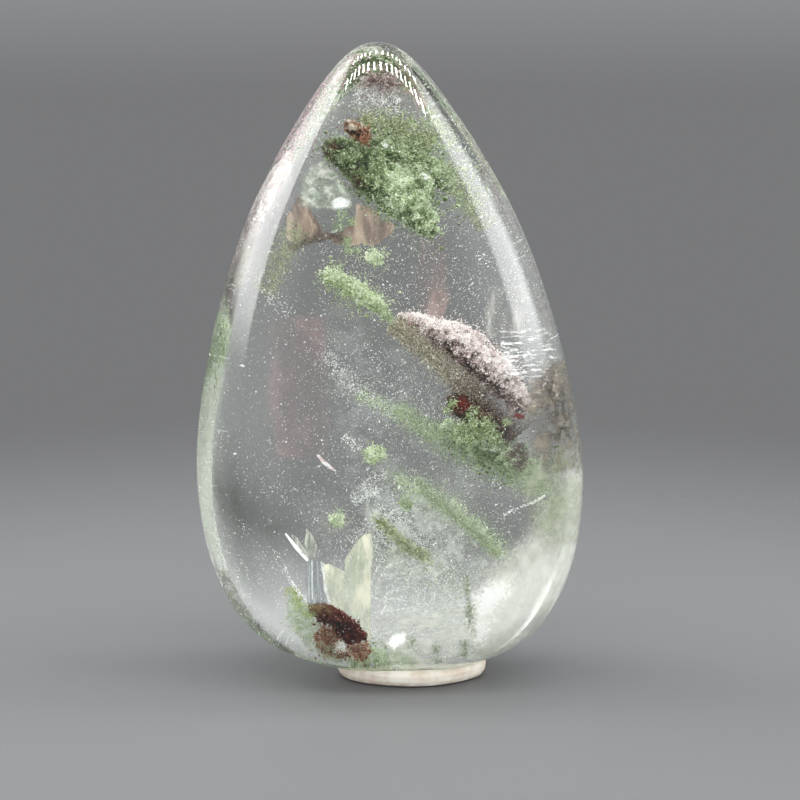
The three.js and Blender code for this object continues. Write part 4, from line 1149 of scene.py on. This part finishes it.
# veils: thin sheets of haze, stain and fracture inside the stone, and some painted light: glints, painted
# reflections on cracks and a painted pool of light at the foot. The outline goes round the sheet in x, z
# in mm, at this depth y, or this far under the front skin, and past the side it goes on under the back
# skin. folds are the count and height of its pleats, ripples the spacing and height of its fine waves, edge
# is how softly it ends; alpha goes from its thin to its thick parts, which have this size and stretch and
# are set off as sharp says; the glow value is a painted glow, light the sheet gives off though it is no
# lamp; node is the CAD solid that it stands for
usualVeil = {
    "under": 0, "node": None, "folds": (2, 0.1), "ripples": None, "size": 0.6, "stretch": (1, 1, 1),
    "sharp": (0.36, 0.66), "glow": 0,
}
veils = {
    "curtain_left": {
        "outline": [(-7.2, 44.6), (-6.5, 44.6), (-6.1, 43.3), (-5.3, 41.7), (-5.9, 41.1), (-6.8, 40.8),
            (-8, 40.8), (-7.8, 43)],
        "depth": 0.8, "folds": (3, 0.3), "edge": 0.35, "alpha": (0.6, 0.95), "size": 1.1,
        "stretch": (1, 1, 0.25), "colours": [(150, 122, 104), (222, 200, 182)], "glow": 0.07,
    },
    "curtain_left_light": {
        "outline": [(-6.9, 43.6), (-6.4, 43.4), (-6, 42.3), (-6.2, 41.6), (-6.9, 41.5)], "depth": 0.5,
        "edge": 0.3, "alpha": (0.4, 0.9), "size": 0.8, "stretch": (1, 1, 0.25),
        "colours": [(216, 192, 170), (244, 226, 206)],
    },
    "curtain_right": {
        "outline": [(-2.8, 44.4), (-1.9, 44.1), (-1, 43.6), (-0.7, 42.6), (0, 42.9), (0.4, 42.3),
            (0.1, 41.6), (-0.4, 41.3), (-0.9, 40.8), (-1.7, 40.5), (-2.4, 40.8), (-3.3, 40.5),
            (-4.5, 40.8), (-5.1, 41.3), (-4.1, 41.8), (-3.4, 42.4), (-2.9, 43.2)],
        "depth": 0.6, "folds": (4, 0.25), "edge": 0.3, "alpha": (0.6, 0.95), "size": 1.1,
        "stretch": (1, 1, 0.25), "colours": [(164, 134, 120), (222, 198, 182)], "glow": 0.07,
    },
    "cloud_under_mass": {
        "outline": [(-6.3, 47.4), (-5.4, 48.2), (-4.5, 47.2), (-3.3, 45.6), (-3.1, 44.2), (-4.6, 43.7),
            (-5.8, 43.9), (-7.1, 44.1), (-6.8, 45.9)],
        "depth": 0.2, "folds": (2, 0.2), "edge": 0.9, "alpha": (0.15, 0.9), "size": 1.2,
        "colours": [(196, 218, 184), (255, 255, 250)], "glow": 0.1,
    },
    "white_glint": {
        "outline": [(-4.9, 44.6), (-4.2, 45.2), (-3.3, 44.8), (-3.5, 44.2), (-4.6, 44)], "depth": -0.8,
        "folds": (2, 0.08), "edge": 0.6, "alpha": (0.6, 1), "size": 0.5,
        "colours": [(246, 250, 252), (255, 255, 255)], "glow": 0.35,
    },
    "pink_stain": {
        "outline": [(-9.4, 34.1), (-5.3, 34.1), (-5, 28.4), (-5.3, 21.4), (-9.3, 21.3), (-9.8, 27)],
        "depth": 0.9, "node": "pink_stain_film", "folds": (3, 0.12), "edge": 1.8, "alpha": (0.14, 0.46),
        "size": 3.2, "stretch": (1, 1, 0.6), "colours": [(170, 138, 142), (200, 168, 170)],
    },
    "stain_middle": {
        "outline": [(2.5, 41.2), (4.2, 41.2), (4.8, 35.7), (4.3, 33.7), (2.3, 33.9), (2, 37.5)],
        "depth": 1, "folds": (2, 0.2), "edge": 0.9, "alpha": (0.12, 0.5), "size": 1.6,
        "stretch": (1, 1, 0.4), "colours": [(170, 136, 132), (202, 170, 164)],
    },
    "window_veil": {
        "outline": [(-5.8, 12), (-5.3, 12.3), (-4.6, 12), (-3.9, 11.6), (-3.9, 12.6), (-3.3, 13.6),
            (-2.7, 14.5), (-2.2, 14.9), (-1.5, 15), (-1.4, 12.9), (-1.6, 11.3), (-1.6, 9), (-1.6, 5.6),
            (-2.7, 5.4), (-3.6, 6.4), (-5, 8), (-5.5, 10.1)],
        "depth": -1.6, "folds": (3, 0.12), "edge": 0.3, "alpha": (0.55, 0.92), "size": 1.3,
        "stretch": (1, 1, 0.35), "colours": [(204, 214, 186), (244, 242, 222)], "glow": 0.26,
    },
    "window_edge": {
        "outline": [(-6.1, 12.7), (-5.8, 12.7), (-5.65, 11.4), (-5.5, 10.3), (-5.2, 8.8), (-5.4, 8.8),
            (-5.8, 10.1), (-5.85, 11.4)],
        "depth": -4.5, "folds": (2, 0.03), "edge": 0.14, "alpha": (0.6, 1), "size": 0.4,
        "stretch": (1, 1, 0.5), "colours": [(232, 238, 230), (255, 255, 255)], "glow": 0.3,
    },
    "petal_left": {
        "outline": [(-8.7, 15.3), (-8.1, 15), (-7.2, 13.6), (-6.9, 12.7), (-7.4, 12.8), (-8, 13.9)],
        "depth": -4.8, "folds": (3, 0.12), "edge": 0.25, "alpha": (0.3, 0.9), "stretch": (1, 1, 0.25),
        "colours": [(206, 214, 196), (255, 255, 250)], "glow": 0.15,
    },
    "petal_right": {
        "outline": [(-7.25, 15.8), (-6.8, 15.3), (-6.35, 14.2), (-6.5, 13.1), (-7.1, 13.1),
            (-7.45, 14.3)],
        "depth": -4.7, "folds": (3, 0.12), "edge": 0.2, "alpha": (0.35, 0.9), "stretch": (1, 1, 0.25),
        "colours": [(200, 210, 186), (252, 255, 244)], "glow": 0.12,
    },
    # a painted reflection on a crack: a white, glowing sheet
    "bright_crack": {
        "outline": [(-9.2, 15.3), (-9, 15.3), (-8.12, 14.2), (-7.1, 12.9), (-7.25, 12.7), (-8.3, 13.9)],
        "depth": -4.9, "folds": (2, 0.04), "edge": 0.14, "alpha": (0.9, 1), "size": 0.5,
        "colours": [(250, 252, 252), (255, 255, 255)], "glow": 0.6,
    },
    "grey_fracture_low": {
        "outline": [(-7.2, 12.8), (-6.1, 12.8), (-5.8, 11), (-5.45, 8.8), (-7.2, 8.8), (-7.35, 11)],
        "depth": -4.6, "folds": (4, 0.14), "edge": 0.3, "alpha": (0.3, 0.9), "size": 0.5,
        "stretch": (1, 1, 0.08), "colours": [(104, 118, 128), (224, 232, 236)],
    },
    "white_line_low": {
        "outline": [(-6.9, 12.8), (-6.7, 12.8), (-6.74, 11), (-6.74, 9.2), (-6.86, 9.2), (-6.88, 11)],
        "depth": -4.9, "folds": (2, 0.04), "edge": 0.14, "alpha": (0.7, 1), "size": 0.4,
        "stretch": (1, 1, 0.4), "colours": [(244, 248, 250), (255, 255, 255)], "glow": 0.2,
    },
    # the two foil sheets: a real thin fracture, drawn as a painted white reflection and painted sparkle
    "foil_fracture": {
        "outline": [(9.1, 33.2), (14.2, 33.4), (15, 31), (14.6, 29.2), (12, 28.6), (9.4, 29)],
        "depth": -2.4, "folds": (3, 0.16), "ripples": (0.4, 0.13), "edge": 0.7, "alpha": (0, 1),
        "size": 0.55, "stretch": (0.22, 1, 2.4), "sharp": (0.5, 0.6),
        "colours": [(244, 244, 242), (255, 255, 255)], "glow": 0.3,
    },
    "foil_sparkle": {
        "outline": [(9.4, 31.9), (11, 31.7), (12.2, 30.8), (11, 30), (9.6, 29.6)], "depth": -2.9,
        "folds": (4, 0.2), "ripples": (0.5, 0.15), "edge": 0.6, "alpha": (0, 0.9), "size": 0.35,
        "stretch": (0.4, 1, 1.8), "sharp": (0.48, 0.6), "colours": [(252, 252, 252), (255, 255, 255)],
        "glow": 0.3,
    },
    "grey_streaks_right": {
        "outline": [(7.2, 37), (10.2, 36.6), (10.6, 32.2), (7.6, 32.2)], "depth": 0.2, "folds": (3, 0.12),
        "edge": 1, "alpha": (0, 0.6), "size": 1.1, "stretch": (1, 1, 0.2),
        "colours": [(176, 172, 164), (232, 230, 226)],
    },
    "brown_veil_right": {
        "outline": [(18.4, 30), (14.3, 30.8), (12.8, 29.1), (12.1, 26.1), (13, 23.2), (14.2, 20.9),
            (18, 20.2), (20.2, 22.6), (19.1, 25.2), (20.4, 27.6)],
        "under": 0.7, "edge": 2.4, "alpha": (0.45, 0.9), "size": 1.6, "stretch": (0.6, 1, 1.4),
        "colours": [(66, 58, 46), (158, 146, 126)],
    },
    "cream_wisps_right": {
        "outline": [(12.6, 30.2), (15.6, 30.4), (16, 27.4), (12.9, 26.9)], "under": 0.5, "edge": 0.8,
        "alpha": (0, 0.9), "size": 0.8, "stretch": (0.6, 1, 1.5), "sharp": (0.48, 0.7),
        "colours": [(214, 200, 178), (250, 242, 226)],
    },
    "green_rim_veil": {
        "outline": [(18.8, 21.8), (15.7, 22.3), (13.4, 22.6), (12, 20.6), (12.7, 16.8), (14.3, 14.1),
            (18.4, 13), (20.6, 15.4), (19.3, 18.2), (20.6, 20.2)],
        "under": 0.7, "edge": 3, "alpha": (0.25, 0.65), "size": 2, "stretch": (0.6, 1, 1.4),
        "colours": [(158, 168, 138), (206, 212, 190)], "glow": 0.06,
    },
    "milk_low_right": {
        "outline": [(18.8, 19.6), (16.4, 19.8), (13.8, 17.9), (12.1, 14.9), (10.3, 13.4), (8.4, 11.8),
            (7.8, 9), (7.6, 5.5), (7.6, 2.2), (15, 1.3), (19, 3.5), (20.6, 6.5), (19.4, 9.5), (21, 13),
            (19.8, 16.5)],
        "under": 0.9, "edge": 5, "alpha": (0.5, 0.86), "size": 4, "stretch": (1, 1, 0.8),
        "colours": [(208, 212, 196), (244, 246, 238)], "glow": 0.14,
    },
    "milk_bright_spot": {
        "outline": [(7.6, 5), (7.7, 9.5), (9.3, 11.6), (11.4, 11.9), (11.2, 9.8), (9.8, 7.6), (8.6, 4.6)],
        "under": 0.5, "edge": 3.2, "alpha": (0.35, 0.97), "size": 2.4,
        "colours": [(250, 252, 246), (255, 255, 255)], "glow": 0.34,
    },
    "haze_middle": {
        "outline": [(-5.5, 36), (0.5, 35), (3.5, 29), (5, 24), (10, 18.5), (4, 14), (-4.5, 19)],
        "depth": 2, "folds": (2, 0.4), "edge": 4, "alpha": (0, 0.18), "size": 2.2,
        "colours": [(206, 210, 212), (240, 242, 244)], "glow": 0.1,
    },
    "haze_low": {
        "outline": [(-2.5, 19), (4, 18.5), (9, 14), (8, 5), (1, 4.5), (-1.5, 9)], "depth": 0.6,
        "folds": (2, 0.4), "edge": 3, "alpha": (0.05, 0.5), "size": 1.4,
        "colours": [(214, 220, 214), (250, 252, 250)], "glow": 0.12,
    },
    "milk_foot": {
        "outline": [(-1.4, 7.6), (8.4, 8.6), (9.2, 5), (8.6, 2.6), (0.2, 3.2)], "depth": -2,
        "folds": (4, 0.2), "edge": 1.2, "alpha": (0.2, 0.7), "size": 1.6, "stretch": (0.5, 1, 1.6),
        "colours": [(214, 220, 206), (255, 255, 248)],
    },
    # a painted pool of light that the stone focuses on its foot, drawn as a glowing white sheet
    "foot_bright_spot": {
        "outline": [(-0.2, 5.2), (0.2, 5.9), (1.1, 6.2), (1.5, 6), (1.3, 5.4), (0.5, 4.9)], "depth": -3,
        "edge": 1.1, "alpha": (0.7, 1), "colours": [(252, 255, 250), (255, 255, 255)], "glow": 0.7,
    },
    "pale_base_left": {
        "outline": [(-8.8, 8.9), (-7.6, 9), (-6.1, 7.2), (-3.9, 4.5), (-3.3, 3.8), (-5.1, 4), (-7.2, 5.2),
            (-8.4, 6.8)],
        "depth": -1.5, "folds": (3, 0.12), "edge": 0.8, "alpha": (0.3, 0.85), "size": 1,
        "stretch": (1, 1, 0.8), "colours": [(186, 210, 158), (236, 246, 222)],
    },
    "splinter": {
        "outline": [(-6.45, 22.5), (-6.15, 22.5), (-5.65, 21.95), (-4.95, 21.35), (-4.6, 21), (-5, 21.05),
            (-5.85, 21.65)],
        "depth": -5, "folds": (2, 0.03), "edge": 0.14, "alpha": (0.6, 1), "size": 0.4,
        "colours": [(240, 206, 206), (255, 255, 255)], "glow": 0.3,
    },
}


def insideOutline(points, corners):  # how far points x, z are inside the outline in mm, under 0 outside it
    after = np.roll(corners, -1, 0)
    along = after - corners
    gap = points[:, None] - corners
    share = np.clip((gap * along).sum(2) / (along**2).sum(1), 0, 1)
    near = np.linalg.norm(gap - share[..., None] * along, axis=2).min(1)
    beside = (corners[:, 1] > points[:, 1:]) != (after[:, 1] > points[:, 1:])
    slopes = along[:, 0] / np.where(along[:, 1] == 0, 1e-9, along[:, 1])
    crossings = beside & (gap[..., 0] < gap[..., 1] * slopes)
    return np.where(crossings.sum(1) % 2 == 1, near, -near)


# what all veils share
veiling = {
    "margin": (0.15, 0.25),  # round the outline in mm, and as a share of its soft edge
    "cell": 0.12,  # of the sheet's mesh in mm, and the fewest and most of them
    "cells": (12, 40),
    "waves": (1.5, 1.5, 0.8, 0.5),  # how much its pleats wander, how wide; width and share of fine ones
    "rippleWaves": (1.2, 0.4),  # how wide, how much its ripples wander
    "skin": 0.12,
    "fray": (0.35, 0.7),  # of its edge: how wide, how much
    "ends": (0.3, 0.75),  # where its fade starts and ends
    "rough": 0.5,
    "bump": (0.3, 0.2),
}


def veilMaterial(name, facts):
    material, shader = newMaterial(name)
    cloud = shader.grain(facts["size"], 4.0, 0.6, stretch=facts["stretch"]).above(*facts["sharp"])
    width, amount = veiling["fray"]
    ragged = shader.written("fade") + amount * (shader.grain(width, 3.0, 0.6) - 0.5)
    thin, full = facts["alpha"]
    colour = shader.blend(cloud, *(paint(*tone) for tone in facts["colours"]))
    shader.surface(shader.add("BsdfPrincipled", {}, {
        "Base Color": colour,
        "Roughness": veiling["rough"],
        # painted glow: the sheet gives off light in its own colour though it is no lamp
        "Emission Color": colour,
        "Emission Strength": facts["glow"],
        "Alpha": ragged.above(*veiling["ends"]) * (cloud * (full - thin) + thin),
        "Normal": shader.bump(cloud, *veiling["bump"]),
    }))
    return material


def makeVeil(name, facts, seed):
    corners = np.array(facts["outline"], float)
    least, share = veiling["margin"]
    margin = least + share * facts["edge"]
    low, high = corners.min(0) - margin, corners.max(0) + margin
    fewest, most = veiling["cells"]
    columns, rows = (int(min(max((high[i] - low[i]) / veiling["cell"], fewest), most)) for i in (0, 1))
    grids = np.mgrid[high[1] : low[1] : rows * 1j, low[0] : high[0] : columns * 1j]
    z, x = (grid.ravel() for grid in grids)
    fade = 0.5 + insideOutline(np.stack([x, z], 1), corners) / facts["edge"]
    flat = np.stack([x, 0 * x, z], 1)
    pleats, height = facts["folds"]
    wander, wide, fine, fineShare = veiling["waves"]
    along = 2 * math.pi * pleats * (x - low[0]) / (high[0] - low[0])
    lift = height * np.sin(along + wander * softNoise(flat, wide, seed))
    lift += fineShare * height * softNoise(flat, fine, seed)
    if facts["ripples"]:
        spacing, rise = facts["ripples"]
        width, wander = veiling["rippleWaves"]
        lift += rise * np.sin(2 * math.pi * (z + wander * softNoise(flat, width, seed)) / spacing)
    if facts["under"]:
        middle, halfWidth, halfDepth = dropSection(z)
        width = np.maximum(halfWidth - facts["under"] * 0.4, 0.1)
        across = (x - middle) / width
        facing = np.where(np.abs(across) > 1, 1, -1)
        across = np.where(facing > 0, np.maximum(2 - np.abs(across), 0) * np.sign(across), across)
        x = middle + across * width
        deep = np.maximum(halfDepth - facts["under"], 0.1) * skinShare(across)
        y = facing * np.maximum(deep - np.abs(lift), 0)
    else:
        y = facts["depth"] + lift
    points = np.stack([x, y, z], 1)
    cells = np.arange(rows * columns).reshape(rows, columns)
    a, b, c, d = (part.ravel() for part in (cells[:-1, :-1], cells[1:, :-1], cells[1:, 1:], cells[:-1, 1:]))
    faces = np.vstack([np.stack([a, b, c], 1), np.stack([a, c, d], 1)])
    faces = faces[(fade[faces].max(1) > 0) & (depthIn(points, veiling["skin"])[faces].max(1) < 1)]
    used, faces = np.unique(faces, return_inverse=True)
    faces = faces.reshape(-1, 3)
    piece = newPiece(name, points[used], faces, veilMaterial(name, facts), True, {"fade": fade[used]})
    if facts["node"]:
        finishPiece(piece, slotOf[facts["node"]], facts["node"])
    else:
        finishPiece(piece, "quartz")


makeFamily(veils, usualVeil, makeVeil, 500)
print("veils ready")

# the pad of putty, in plan an oval, pressed hollow by the stone
putty = {
    "middleX": 1.9,
    "halfWidth": 7.0,
    "halfDepth": 5.3,
    "height": 1.75,
    "waves": [(3, 0.018, 0.6), (5, 0.012, 2)],  # of its outline: how many, how much, from where
    "lip": (2, 0.12, 1.1),  # the same for the height of its rim
    # its side from the floor up: shares of its half-width and height
    "profile": [
        (0.92, 0), (0.965, 0.08), (1, 0.3), (1.01, 0.62), (0.985, 0.82), (0.93, 0.93), (0.86, 0.99),
        (0.7, 1),
    ],
    "hollow": (0.04, 30),  # how far in its top goes, in how many rings
    "sides": 104,
    "rings": 44,
    "seat": 0.06,  # the gap that stays under the stone
    "dents": (1.3, 0.07, 0.02),  # how wide, how deep, and the most that they stand out
    "dentSize": 1.8,
    "speckSize": 0.25,
    "colours": [(222, 208, 192), (244, 240, 228)],
    "bottomShade": (176, 150, 136),
    "bottomShadeHeight": (0.0006, 0.0001),  # painted shade low on the pad: its colour above, and in metres, from where it ends to where it is full
    "rough": 0.55,
    "bump": (0.5, 0.2),
}


def underside(x, y):  # the lowest height of the stone's skin over x, y, in mm, found by halving
    low, high = np.full(len(x), drop["foot"]), np.full(len(x), 8.0)
    for _ in range(30):
        z = (low + high) / 2
        within = depthIn(np.stack([x, y, z], 1)) < 1
        high, low = np.where(within, z, high), np.where(within, low, z)
    return high


def puttyMaterial():
    material, shader = newMaterial("whitePutty")
    dent = shader.grain(putty["dentSize"], 3.0)
    speck = shader.grain(putty["speckSize"], 2.0)
    colour = shader.blend(dent.above(0.35, 0.65), *(paint(*tone) for tone in putty["colours"]))
    # painted shade: the pad is darker towards the floor
    height = shader.axis(shader.place(), 2) + putty["bottomShadeHeight"][0] * dent
    colour = shader.blend(height.above(*putty["bottomShadeHeight"]), colour, paint(*putty["bottomShade"]))
    shader.surface(shader.add("BsdfPrincipled", {}, {
        "Base Color": colour,
        "Roughness": putty["rough"],
        "Normal": shader.bump(dent + 0.3 * speck, *putty["bump"]),
    }))
    return material


def makePutty():
    rings, sides, profile = putty["rings"], putty["sides"], np.array(putty["profile"])
    share = np.arange(rings) / (rings - 1) * (len(profile) - 1)
    out, up = (np.interp(share, range(len(profile)), profile[:, i]) for i in (0, 1))
    inmost, hollowRings = putty["hollow"]
    hollow = np.linspace(profile[-1][0], inmost, hollowRings)[1:]
    out, up = np.concatenate([out, hollow]), np.concatenate([up, np.ones(len(hollow))])
    turn = np.tile(np.arange(sides) / sides * 2 * math.pi, len(out))
    out, up = np.repeat(out, sides), np.repeat(up, sides)
    uneven = 1 + sum(size * np.sin(times * turn + start) for times, size, start in putty["waves"])
    times, size, start = putty["lip"]
    x = putty["middleX"] + out * uneven * putty["halfWidth"] * np.cos(turn)
    y = out * uneven * putty["halfDepth"] * np.sin(turn)
    z = up * (putty["height"] + size * np.sin(times * turn + start))
    points = np.stack([x, y, z], 1)
    width, rise, most = putty["dents"]
    dents = rise * softNoise(points, width, 3.0) * smoothStep(0, 0.4, z)
    away = np.stack([np.cos(turn), np.sin(turn), np.full(len(turn), 0.3)], 1)
    points += away * np.minimum(dents, most)[:, None]
    points[:, 2] = np.clip(points[:, 2], 0, underside(points[:, 0], points[:, 1]) - putty["seat"])
    rows = len(points) // sides
    poles = [[putty["middleX"], 0, 0], [putty["middleX"], 0, drop["foot"] - putty["seat"]]]
    skin = np.vstack([points, poles])
    piece = newPiece("pressed_putty", skin, ringFaces(rows, sides), puttyMaterial(), True)
    finishPiece(piece, "putty", "putty_pad")


makePutty()
print("all pieces made,", sum(faceCount), "faces")
